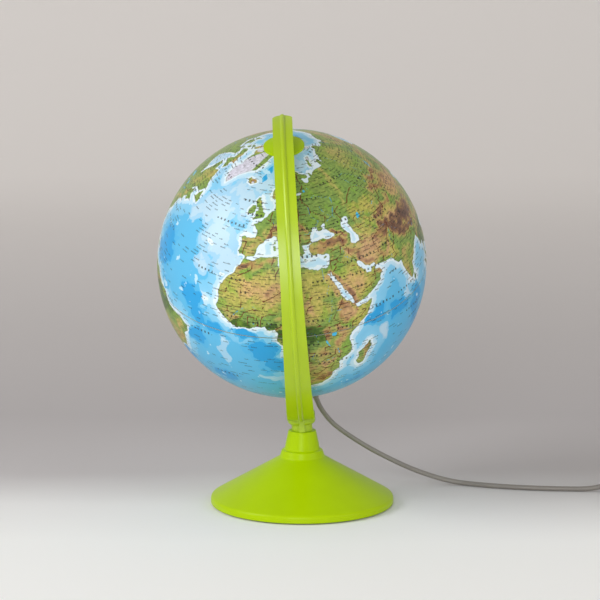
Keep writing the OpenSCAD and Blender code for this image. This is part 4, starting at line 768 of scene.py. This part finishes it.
def patches(places, rows):
    """A field of soft oval patches from 0 to 1."""
    lon, lat, half_lon, half_lat, strength = np.array(rows, float).T
    middle = printed(np.stack([lon, lat], 1))[:, 1]

    def work(block):
        east = (block[:, :1] - lon + 180) % 360 - 180
        square = (east / half_lon) ** 2 + ((block[:, 1:] - middle) / half_lat) ** 2
        return (strength / (1 + square ** 2)).max(1)

    return in_blocks(work, places)


# The domes are rings of points. Outside, neighbours are up to 1.3 mm apart
WIDEST_RING = 640
SMALLEST_RING = 80
RING_STEP = 360 / WIDEST_RING
INSIDE_STEP = 4  # degrees between rings inside, where nothing is printed
SEAM_HALF = 0.0001  # each half stops this short of the equator
JUST_OVER = 1.0001  # so that a ring of exactly half the width is halved too
SHARP_EDGE = math.radians(40)
NEAR_DATE_LINE = 170


def ring_count(colatitude):
    """Points in a ring: half as many each time that the ring has shrunk by half."""
    width = math.sin(math.radians(colatitude))
    count = WIDEST_RING
    while count > SMALLEST_RING and width < count / (2 * WIDEST_RING) * JUST_OVER:
        count //= 2
    return count


def dome_rings(hole_r):
    """Each ring as (radius, latitude, points): up the outside, through the pole's hole, down the inside."""
    inner_r = BALL_R - BALL_WALL
    hole = math.degrees(math.asin(hole_r / BALL_R))
    inner_hole = math.degrees(math.acos(hole_r / inner_r))
    steps = int((90 - hole) / RING_STEP)
    hole_points = ring_count(90 - steps * RING_STEP)
    outside = [(BALL_R, math.degrees(SEAM_HALF / BALL_R), WIDEST_RING)]
    outside += [(BALL_R, i * RING_STEP, ring_count(90 - i * RING_STEP)) for i in range(1, steps + 1)]
    outside.append((BALL_R, 90 - hole, hole_points))
    inside = [(inner_r, inner_hole, hole_points)]
    inside += [(inner_r, lat, SMALLEST_RING) for lat in range(int(inner_hole) - 2, 8, -INSIDE_STEP)]
    # The inside catches up with the outside before they meet at the rim
    inside += [(inner_r, 5, 2 * SMALLEST_RING), (inner_r, 2.5, 4 * SMALLEST_RING)]
    inside.append((inner_r, math.degrees(SEAM_HALF / inner_r), WIDEST_RING))
    return outside, inside


def dome(name, up, hole_r):
    """Half the ball: the printed outside, the wall of the pole's hole, the inside and the rim."""
    outside, inside = dome_rings(hole_r)
    rings = outside + inside
    printed_rings = len(outside)
    places = []
    spots = []
    first = []
    for radius, lat, count in rings:
        first.append(len(places))
        for i in range(count):
            lon = -180 + 360 * i / count
            places.append((lon, up * lat))
            spots.append(radius)
    places = np.array(places)
    spots = directions(places) * np.array(spots)[:, None]

    faces = []
    for k, (radius, lat, count) in enumerate(rings):
        after = (k + 1) % len(rings)
        faces += between_rings(first[k], count, first[after], rings[after][2])
    if up < 0:
        faces = [face[::-1] for face in faces]
    mesh = bpy.data.meshes.new(name)
    mesh.from_pydata(spots.tolist(), [], faces)
    mesh.transform(BALL_AT)
    mesh.polygons.foreach_set("use_smooth", [True] * len(faces))
    mesh.set_sharp_from_angle(angle=SHARP_EDGE)
    printed_points = first[printed_rings]
    outer = np.array([max(face) < printed_points for face in faces])
    mesh.polygons.foreach_set("material_index", np.where(outer, 0, 1).astype(np.int32))
    print_map(mesh, places, printed_points)
    piece = bpy.data.objects.new(name, mesh)
    bpy.context.collection.objects.link(piece)
    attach(piece, "globe")
    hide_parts(name.replace("printed_", "") + "_hemisphere")
    return piece


def between_rings(low, low_count, high, high_count):
    """Faces between two rings with as many points, or with half or twice as many."""
    faces = []
    most = max(low_count, high_count)
    for i in range(most):
        a = low + i * low_count // most
        b = low + (i + 1) * low_count // most % low_count
        c = high + (i + 1) * high_count // most % high_count
        d = high + i * high_count // most
        corners = [a, b, c, d]
        faces.append([v for k, v in enumerate(corners) if v != corners[k - 1]])
    return faces


def print_map(mesh, places, printed_points):
    """Stores what is printed at each point of the mesh, for the material to draw."""
    outside = places[:printed_points]
    fields = {
        "shore": shore(outside, [*LAND.values(), LAKES["caspian"]]),
        "lake": shore(outside, [lake for name, lake in LAKES.items() if name != "caspian"]),
        "relief": relief(wander(outside)),
        "dry": patches(wander(outside), DRY),
        "lush": patches(wander(outside), LUSH),
        "ice": patches(outside, ICE),
        "deep": patches(wander(outside), DEEPS),
        "pale": patches(wander(outside), PALES),
        "border": degrees_to(outside, BORDERS),
        "river": degrees_to(outside, RIVERS),
    }
    for name, values in fields.items():
        layer = np.zeros(len(places), np.float32)
        layer[:printed_points] = values
        mesh.attributes.new(name, "FLOAT", "POINT").data.foreach_set("value", layer)
    # The last face of each ring counts on past 180 degrees
    corner_places = places[[v for face in mesh.polygons for v in face.vertices]].copy()
    starts = np.array([face.loop_start for face in mesh.polygons])
    sizes = np.array([face.loop_total for face in mesh.polygons])
    highest = np.maximum.reduceat(corner_places[:, 0], starts)
    wraps = np.repeat(highest > NEAR_DATE_LINE, sizes) & (corner_places[:, 0] < -NEAR_DATE_LINE)
    corner_places[wraps, 0] += 360
    flat = np.zeros((len(corner_places), 3), np.float32)
    flat[:, :2] = corner_places
    mesh.attributes.new("place", "FLOAT_VECTOR", "CORNER").data.foreach_set("vector", flat.ravel())


# ---------- materials ----------

FLOW_MARK_MM = 36  # spacing of the cloudy marks in moulded plastic


def colour(code):
    """An sRGB hex colour as the linear values that Blender's sockets take."""
    parts = [int(code[i:i + 2], 16) / 255 for i in (1, 3, 5)]
    return tuple(p / 12.92 if p <= 0.04045 else ((p + 0.055) / 1.055) ** 2.4 for p in parts) + (1,)


def add(tree, kind, links=None, stops=(), **settings):
    """Adds a shader node. links gives each input a value, or the node or output that feeds it.

    stops are a ramp's colours, its first and its last before the ones between them.
    """
    node = tree.nodes.new("ShaderNode" + kind)
    for name, value in settings.items():
        setattr(node, name, value)
    for name, value in (links or {}).items():
        if isinstance(value, bpy.types.Node):
            value = value.outputs[0]
        if isinstance(value, bpy.types.NodeSocket):
            tree.links.new(value, node.inputs[name])
        else:
            node.inputs[name].default_value = value
    for i, (at, code) in enumerate(stops):
        stop = node.color_ramp.elements[i] if i < 2 else node.color_ramp.elements.new(at)
        stop.position = at
        stop.color = colour(code)
    return node


def blank(name):
    """A new material with an empty tree."""
    material = bpy.data.materials.new(name)
    material.use_nodes = True
    material.node_tree.nodes.clear()
    return material, material.node_tree


def coat(tree, skin):
    """Gives a material its surface: one shader with the settings and links of the skin."""
    add(tree, "OutputMaterial", {"Surface": add(tree, "BsdfPrincipled", skin)})


def moulded_plastic(name, code, roughness, grain_mm, grain_depth, mottle=0.06, gloss=0.5):
    """A moulded polymer: a fine grain from the mould, and cloudy flow marks that shift its tone."""
    material, tree = blank(name)
    place = add(tree, "TexCoord").outputs["Object"]
    cloud = add(tree, "TexNoise", {"Vector": place, "Scale": 1000 / FLOW_MARK_MM, "Detail": 3})
    tone = add(
        tree, "MapRange",
        {"Value": cloud, "From Min": 0.3, "From Max": 0.7, "To Min": 1 - mottle, "To Max": 1 + mottle},
    )
    tint = add(tree, "VectorMath", {0: colour(code)[:3], "Scale": tone}, operation="SCALE")
    rough = add(
        tree, "MapRange",
        {
            "Value": cloud, "From Min": 0.3, "From Max": 0.7,
            "To Min": roughness - 0.03, "To Max": roughness + 0.04,
        },
    )
    grain = add(tree, "TexNoise", {"Vector": place, "Scale": 1000 / grain_mm, "Detail": 2})
    bump = add(tree, "Bump", {"Height": grain, "Strength": 0.25, "Distance": grain_depth * MM})
    coat(tree, {
        "Base Color": tint, "Roughness": rough, "Normal": bump, "IOR": 1.5, "Specular IOR Level": gloss,
    })
    return material


def metal(name, code, roughness, grain_mm):
    """A bare or plated metal with fine tool marks that break up its highlight."""
    material, tree = blank(name)
    place = add(tree, "TexCoord").outputs["Object"]
    marks = add(tree, "TexNoise", {"Vector": place, "Scale": 1000 / grain_mm, "Detail": 4})
    rough = add(tree, "MapRange", {"Value": marks, "To Min": roughness - 0.08, "To Max": roughness + 0.1})
    bump = add(tree, "Bump", {"Height": marks, "Strength": 0.15, "Distance": 0.02 * MM})
    coat(tree, {"Base Color": colour(code), "Metallic": 1, "Roughness": rough, "Normal": bump})
    return material


# ---------- the printed map ----------

# Each grain of the print: the size of its marks on the ball in millimetres, and how fine they break up
GRAINS = {"rock": (2.6, 8), "fine": (4, 6), "mid": (9, 5), "bank": (11, 6), "broad": (24, 4)}
FIELDS = ("shore", "lake", "relief", "dry", "lush", "ice", "deep", "pale", "border", "river")

# Plain strokes that stand in for names. Degrees between rows, in the room for a word and in a letter with
# its gap, then shares: the letters' height in the row, the inked part of a letter, and how many words
# show at sea and on land
SMALL_PRINT = {
    "row": 1.45, "cell": 4.2, "letter": 0.52, "tall": 0.4, "inked": 0.66, "at_sea": 0.22, "on_land": 0.85,
}
LARGE_PRINT = {
    "row": 5.6, "cell": 17, "letter": 1.9, "tall": 0.2, "inked": 0.4, "at_sea": 0.3, "on_land": 0.45,
}
ROW_SLANT = 0.02
ROW_STAGGER = 2.618  # degrees that each row starts past the one before it


def ragged(tree, field, *grains):
    """Pushes a field's edge to and fro by each grain, so that it runs ragged as a drawn coast does."""
    for grain, amount in grains:
        centred = add(tree, "Math", {0: grain, 1: -0.5}, operation="ADD")
        field = add(tree, "Math", {0: centred, 1: amount, 2: field}, operation="MULTIPLY_ADD")
    return field


def lay_ink(tree, below, ink, field, low, high, strength=1.0):
    """Prints an ink over what is below it, where a field goes from low to high."""
    cover = add(
        tree, "MapRange",
        {"Value": field, "From Min": low, "From Max": high, "To Max": strength},
        interpolation_type="SMOOTHSTEP",
    )
    # This node's colours go in at 6 and 7 and come out at 2
    return add(tree, "Mix", {"Factor": cover, 6: below, 7: ink}, data_type="RGBA").outputs[2]


def sea_inks(tree, field, grain, coast):
    """A ragged pale shelf, then flat tints that step from pale blue to azure with the depth. The pale tints
    of the North Atlantic are partly a painted highlight.
    """
    reach = ragged(tree, coast, (grain["broad"], 5.0), (grain["mid"], 3.0))
    from_shore = add(tree, "Math", {0: reach, 1: -0.1}, operation="MULTIPLY")
    ink = add(
        tree, "ValToRGB", {"Fac": from_shore},
        stops=[
            (0.1, "#DCE9F1"), (0.74, "#5BB3DE"), (0.125, "#BFDCEC"), (0.26, "#AED5EB"), (0.285, "#84C5E6"),
            (0.7, "#78BFE3"),
        ],
    )
    deep = ragged(tree, field["deep"], (grain["mid"], 0.8), (grain["fine"], 0.25))
    pale = ragged(tree, field["pale"], (grain["mid"], 0.7), (grain["fine"], 0.25))
    # The pale field's tints: printed shallows, and in the North Atlantic partly a painted highlight
    for code, depth, low, high in (
        ("#9CC9E4", pale, 0.4, 0.46), ("#B3D2E5", pale, 0.7, 0.76), ("#52B0DF", deep, 0.4, 0.44),
        ("#2E9CD7", deep, 0.62, 0.66), ("#B5DAEE", grain["bank"], 0.66, 0.685),
        ("#D8E7F0", coast, -0.8, -0.6),
    ):
        ink = lay_ink(tree, ink, colour(code), depth, low, high)
    return ink


def land_inks(tree, field, grain, height):
    """Green lowland, ochre hills and brown ranges; the dry belt starts at straw instead of green."""
    moist = add(
        tree, "ValToRGB", {"Fac": height},
        stops=[
            (0.0, "#7B984D"), (1.0, "#634A3F"), (0.12, "#8F9D4E"), (0.24, "#A8A45C"), (0.36, "#B29E5E"),
            (0.52, "#A27E52"), (0.72, "#7F5F4A"),
        ],
    )
    arid = add(
        tree, "ValToRGB", {"Fac": height},
        stops=[
            (0.0, "#ABA853"), (1.0, "#674D41"), (0.1, "#BBAC60"), (0.22, "#C3A769"), (0.38, "#C09D6F"),
            (0.55, "#AC8561"), (0.74, "#84614D"),
        ],
    )
    dry = ragged(tree, field["dry"], (grain["broad"], 0.5), (grain["fine"], 0.4))
    ink = lay_ink(tree, moist, arid, dry, 0.25, 0.65)
    # Woods where it is lush and low
    lowland = add(tree, "Math", {0: 0.55, 1: height}, operation="SUBTRACT")
    lush = ragged(tree, field["lush"], (grain["fine"], 0.5), (grain["mid"], 0.3))
    lush = add(tree, "Math", {0: lush, 1: -0.3}, operation="ADD")
    wooded = add(tree, "Math", {0: lush, 1: lowland}, operation="MINIMUM")
    ink = lay_ink(tree, ink, colour("#466327"), wooded, 0.0, 0.35)
    # Scattered meadows on the plains
    plain = add(tree, "Math", {0: lowland, 1: -0.33}, operation="ADD")
    fresh = add(tree, "Math", {0: grain["mid"], 1: -0.52}, operation="ADD")
    meadow = add(tree, "Math", {0: fresh, 1: plain}, operation="MINIMUM")
    ink = lay_ink(tree, ink, colour("#7FA63A"), meadow, 0.0, 0.1, 0.5)
    ice = ragged(tree, field["ice"], (grain["fine"], 0.2))
    ink = lay_ink(tree, ink, colour("#CCCAD8"), ice, 0.28, 0.42)
    # The speckle of drawn relief
    shade = add(
        tree, "MapRange",
        {"Value": grain["rock"], "From Min": 0.35, "From Max": 0.65, "To Min": 0.8, "To Max": 1.16},
    )
    ink = add(tree, "VectorMath", {0: ink, "Scale": shade}, operation="SCALE")
    border = ragged(tree, field["border"], (grain["fine"], 0.3))
    river = ragged(tree, field["river"], (grain["fine"], 0.35))
    lake = ragged(tree, field["lake"], (grain["fine"], 0.6))
    ink = lay_ink(tree, ink, colour("#6A3B26"), border, 0.27, 0.15)
    ink = lay_ink(tree, ink, colour("#3C97C4"), river, 0.16, 0.08)
    return lay_ink(tree, ink, colour("#45B3DC"), lake, -0.06, 0.06)


def strokes(tree, lon, lat, near_land, row, cell, letter, tall, inked, at_sea, on_land):
    """Where rows of plain strokes are inked: 1 there, 0 elsewhere."""
    slant = add(tree, "Math", {0: lon, 1: ROW_SLANT, 2: lat}, operation="MULTIPLY_ADD")
    rows = add(tree, "Math", {0: slant, 1: row}, operation="DIVIDE")
    line = add(tree, "Math", {0: rows}, operation="FLOOR")
    within = add(tree, "Math", {0: rows}, operation="FRACT")

    # A parallel is shorter towards the pole, so that letters keep their width
    turn = add(tree, "Math", {0: line, 1: math.radians(row)}, operation="MULTIPLY")
    narrow = add(tree, "Math", {0: turn}, operation="COSINE")
    along = add(tree, "Math", {0: lon, 1: narrow}, operation="MULTIPLY")
    stagger = add(tree, "Math", {0: line, 1: ROW_STAGGER}, operation="MULTIPLY")
    along = add(tree, "Math", {0: along, 1: stagger}, operation="ADD")

    # Whether a word stands in this cell, how far above its row, and how much of the cell it fills
    cells = add(tree, "Math", {0: along, 1: cell}, operation="DIVIDE")
    word = add(tree, "Math", {0: cells}, operation="FLOOR")
    through = add(tree, "Math", {0: cells}, operation="FRACT")
    spot = add(tree, "CombineXYZ", {"X": word, "Y": line, "Z": row})
    chance = add(tree, "TexWhiteNoise", {"Vector": spot})
    dice = add(tree, "SeparateColor", {0: chance.outputs["Color"]})
    amount = add(tree, "MapRange", {"Value": near_land, "To Min": at_sea, "To Max": on_land})
    present = add(tree, "Math", {0: chance.outputs["Value"], 1: amount}, operation="LESS_THAN")
    length = add(tree, "Math", {0: dice.outputs["Green"], 1: 0.6, 2: 0.3}, operation="MULTIPLY_ADD")
    in_word = add(tree, "Math", {0: through, 1: length}, operation="LESS_THAN")
    drop = add(tree, "Math", {0: dice.outputs["Red"], 1: tall - 1, 2: within}, operation="MULTIPLY_ADD")

    # Each letter is a block of its own height, with a gap after it
    letters = add(tree, "Math", {0: along, 1: letter}, operation="DIVIDE")
    which = add(tree, "Math", {0: letters}, operation="FLOOR")
    pen = add(tree, "Math", {0: letters}, operation="FRACT")
    this_letter = add(tree, "CombineXYZ", {0: which, 1: line})
    kind = add(tree, "TexWhiteNoise", {"Vector": this_letter})
    high = add(tree, "Math", {0: kind.outputs["Value"], 1: tall / 2, 2: tall / 2}, operation="MULTIPLY_ADD")
    below_top = add(tree, "Math", {0: drop, 1: high}, operation="LESS_THAN")
    above_foot = add(tree, "Math", {0: drop, 1: 0.0}, operation="GREATER_THAN")
    solid = add(tree, "Math", {0: pen, 1: inked}, operation="LESS_THAN")
    stroke = 1.0
    for part in (present, in_word, below_top, above_foot, solid):
        stroke = add(tree, "Math", {0: part, 1: stroke}, operation="MULTIPLY")
    return stroke


def printed_map():
    """Offset-printed styrene film, lacquered clear: land tints by height and sea tints by depth, with the
    pale North Atlantic partly a painted highlight.
    """
    material, tree = blank("lacquered_map_print")
    place = add(tree, "TexCoord").outputs["Object"]
    field = {name: add(tree, "Attribute", attribute_name=name).outputs["Fac"] for name in FIELDS}
    grain = {
        name: add(tree, "TexNoise", {"Vector": place, "Scale": 1000 / size, "Detail": detail})
        for name, (size, detail) in GRAINS.items()
    }
    coast = ragged(tree, field["shore"], (grain["fine"], 1.5))
    rugged = add(
        tree, "MapRange",
        {"Value": grain["mid"], "From Min": 0.32, "From Max": 0.68, "To Min": 0.5, "To Max": 1.25},
    )
    height = add(tree, "Math", {0: field["relief"], 1: rugged}, operation="MULTIPLY")
    height = ragged(tree, height, (grain["rock"], 0.3), (grain["broad"], 0.3))
    sea = sea_inks(tree, field, grain, coast)
    land = land_inks(tree, field, grain, height)
    ink = lay_ink(tree, sea, land, coast, -0.03, 0.03)
    # A thin dark line along the shore
    edge = add(tree, "Math", {0: coast}, operation="ABSOLUTE")
    ink = lay_ink(tree, ink, colour("#4F6257"), edge, 0.14, 0.05, 0.5)

    # Small strokes, thickest on land, and large spaced ones; few on the ice
    degrees = add(tree, "Attribute", attribute_name="place").outputs["Vector"]
    degrees = add(tree, "SeparateXYZ", {0: degrees})
    lon = degrees.outputs["X"]
    lat = degrees.outputs["Y"]
    near_land = add(tree, "MapRange", {"Value": coast, "From Min": -3.5, "From Max": 1.0})
    near_land = add(tree, "Math", {0: field["ice"], 1: -1.6, 2: near_land}, operation="MULTIPLY_ADD")
    for sizes in (SMALL_PRINT, LARGE_PRINT):
        stroke = strokes(tree, lon, lat, near_land, **sizes)
        ink = lay_ink(tree, ink, colour("#2E2E28"), stroke, 0.0, 1.0, 0.85)
    # The equator
    from_equator = add(tree, "Math", {0: lat}, operation="ABSOLUTE")
    ink = lay_ink(tree, ink, colour("#5D6A50"), from_equator, 0.24, 0.12)

    # The ranges stand up from the film by a fraction of a millimetre
    on_land = add(tree, "MapRange", {"Value": coast, "From Min": -0.03, "From Max": 0.1})
    ranges = add(tree, "Math", {0: height, 1: on_land}, operation="MULTIPLY")
    ranges = add(tree, "Math", {0: grain["rock"], 1: ranges}, operation="MULTIPLY")
    bump = add(tree, "Bump", {"Height": ranges, "Strength": 0.5, "Distance": 0.25 * MM})
    coat(tree, {
        "Base Color": ink, "Roughness": 0.28, "IOR": 1.5, "Specular IOR Level": 0.2, "Normal": bump,
    })
    return material


# ---------- the finish of each piece ----------

# ABS in lime, polished in the mould: bright colour, soft wide highlight
lime_abs = moulded_plastic("lime_abs", "#A4BF09", 0.33, 0.9, 0.01, mottle=0.03, gloss=0.55)
# The same ABS from a lightly etched mould: an even satin with hardly any reflection
satin_lime_abs = moulded_plastic("satin_lime_abs", "#A8C600", 0.33, 0.7, 0.02, mottle=0.03, gloss=0.12)
# PVC sheath: a light grey darkened to a dull even mid grey, partly painted shade, with a slight drawn sheen
sheath_pvc = moulded_plastic("sheath_pvc", "#88837D", 0.42, 0.7, 0.02)
# Spark-eroded polypropylene: an even matt grain that hides finger marks
grained_pp = moulded_plastic("grained_pp", "#8B8681", 0.55, 0.5, 0.05)
# The same in near black
dark_pp = moulded_plastic("dark_pp", "#35353A", 0.45, 0.5, 0.03)
# Acetal: milky white and slippery smooth
white_pom = moulded_plastic("white_pom", "#E8E6DE", 0.4, 0.8, 0.01)
# Urea thermoset of a lampholder: warm white, hard and slightly glossy
thermoset = moulded_plastic("lampholder_thermoset", "#EFEBDD", 0.35, 0.8, 0.01)
# Foam rubber: dead matt, with open cells
foam_pad = moulded_plastic("foam_pad", "#2B2B2D", 0.9, 0.8, 0.2)
# Zinc-plated steel: pale grey with a blue-white shine
zinc_steel = metal("zinc_plated_steel", "#C2C5C8", 0.3, 0.4)
# Stamped brass: warm yellow, with the marks of the press
stamped_brass = metal("stamped_brass", "#C9A94E", 0.3, 0.4)
# Cast iron as it left the sand: dark and rough
cast_iron = metal("cast_iron", "#4C4C4E", 0.62, 0.8)

power_cord.data.materials.append(sheath_pvc)

map_print = printed_map()
for half, up, hole in (("printed_north", 1, NORTH_HOLE_R), ("printed_south", -1, SOUTH_HOLE_R)):
    shell = dome(half, up, hole)
    shell.data.materials.append(map_print)
    shell.data.materials.append(white_pom)

FINISHES = {
    lime_abs: ["meridian_arm", "hub_cover"],
    satin_lime_abs: ["base_shell", "north_cap"],
    sheath_pvc: ["strain_relief"],
    grained_pp: ["base_cover", "switch_case_lower", "switch_case_upper", "plug_body"],
    dark_pp: ["switch_rocker", "cord_tie"],
    white_pom: ["equator_ring", "south_bearing_ring"],
    thermoset: ["lampholder_body", "bulb_glass"],
    foam_pad: ["base_pad"],
    zinc_steel: [
        "arm_screw", "arm_washer", "ballast_screws", "north_pivot_pin", "north_retaining_ring",
        "bulb_cap", "switch_screws", "plug_pins",
    ],
    stamped_brass: ["lamp_nipple", "lamp_nut", "lampholder_shell", "lampholder_contact"],
    cast_iron: ["base_ballast"],
}
for finish, names in FINISHES.items():
    for name in names:
        data = NODES[name].data
        data.materials.clear()
        data.materials.append(finish)


# ---------- floor, backdrop and lights ----------


PAPER_CLOUD_MM = 1000 / 3  # size of the soft clouds in the paper's tone
# The paper's run in metres: where it starts, turns up and ends, and half its width
SWEEP_FRONT = -4.0
SWEEP_TURN_AT = 2.2
SWEEP_TURN_R = 1.6
SWEEP_TOP = 5.0
SWEEP_HALF_W = 7
TURN_STEPS = 12


def sweep_profile():
    """The paper's side view as (y, z): flat floor, a quarter turn up, then the wall."""
    turn = []
    for i in range(TURN_STEPS + 1):
        angle = i * math.pi / (2 * TURN_STEPS)
        turn.append((
            SWEEP_TURN_AT + SWEEP_TURN_R * math.sin(angle),
            SWEEP_TURN_R - SWEEP_TURN_R * math.cos(angle),
        ))
    wall = SWEEP_TURN_AT + SWEEP_TURN_R
    return [(SWEEP_FRONT, 0)] + turn + [(wall, SWEEP_TOP)]


def sweep_paper():
    """Seamless paper: a pale matt floor, a mid grey band of painted shade on the floor behind the object,
    and a paler wall above.
    """
    material, tree = blank("paper_sweep")
    place = add(tree, "TexCoord").outputs["Object"]
    fibre = add(tree, "TexNoise", {"Vector": place, "Scale": 1000 / PAPER_CLOUD_MM, "Detail": 4})
    spot = add(tree, "SeparateXYZ", {0: place})
    back = add(tree, "Math", {0: fibre, 1: 0.06, 2: spot.outputs["Y"]}, operation="MULTIPLY_ADD")
    depth = add(tree, "MapRange", {"Value": back, "From Min": -0.6, "From Max": 3.4})
    # Painted shade: the paper's tone drops to mid grey in a band behind the object, then pales again towards
    # the wall
    tint = add(
        tree, "ValToRGB", {"Fac": depth},
        stops=[
            (0.12, "#F6F6F5"), (0.8, "#EAE6E4"), (0.155, "#EBEAEA"), (0.19, "#C3BFC0"),
            (0.26, "#B5B1B2"), (0.4, "#C2BEBE"), (0.6, "#D7D3D2"),
        ],
    )
    coat(tree, {"Base Color": tint, "Roughness": 0.9})
    return material


def sweep():
    """A floor that curves up into a backdrop, far behind."""
    verts = []
    faces = []
    for i, (y, z) in enumerate(sweep_profile()):
        verts += [(-SWEEP_HALF_W, y, z), (SWEEP_HALF_W, y, z)]
        if i:
            faces.append((2 * i - 2, 2 * i - 1, 2 * i + 1, 2 * i))
    mesh = bpy.data.meshes.new("paper_sweep")
    mesh.from_pydata(verts, [], faces)
    mesh.polygons.foreach_set("use_smooth", [True] * len(faces))
    mesh.materials.append(sweep_paper())
    floor = bpy.data.objects.new("paper_sweep", mesh)
    bpy.context.collection.objects.link(floor)


def softbox(name, at, size, power):
    """A flat white light that faces the object."""
    data = bpy.data.lights.new(name, "AREA")
    data.shape = "RECTANGLE"
    data.size, data.size_y = size
    data.energy = power
    box = bpy.data.objects.new(name, data)
    way = AIM - Vector(at)
    box.matrix_world = Matrix.Translation(at) @ way.to_track_quat("-Z", "Y").to_matrix().to_4x4()
    bpy.context.collection.objects.link(box)


def studio():
    """A large box on the left, a tall one in front, a weak one on the right, in a room that is dim above."""
    world = bpy.data.worlds.new("studio")
    world.use_nodes = True
    bpy.context.scene.world = world
    tree = world.node_tree
    tree.nodes.clear()
    way = add(tree, "SeparateXYZ", {0: add(tree, "TexCoord").outputs["Generated"]})
    room = add(
        tree, "MapRange",
        {"Value": way.outputs["Z"], "From Min": 0.0, "From Max": 0.8, "To Min": 0.72, "To Max": 0.46},
    )
    fill = add(tree, "Background", {"Color": colour("#F4F1EC"), "Strength": room})
    seen = add(tree, "Background", {"Color": colour("#C9C4C2"), "Strength": 1})
    path = add(tree, "LightPath")
    looks = add(
        tree, "Math",
        {0: path.outputs["Is Camera Ray"], 1: path.outputs["Is Transmission Ray"]}, operation="MAXIMUM",
    )
    both = add(tree, "MixShader", {0: looks, 1: fill, 2: seen})
    add(tree, "OutputWorld", {"Surface": both})
    softbox("key_left", (-3.2, -1.3, 2.4), (1.9, 1.9), 78)
    softbox("front", (-0.4, -3.3, 0.9), (1.0, 1.9), 39)
    softbox("fill_right", (3.0, -1.6, 1.4), (2.0, 2.0), 16)
    bpy.context.scene.view_settings.view_transform = "Standard"


sweep()
studio()

bpy.context.view_layer.update()
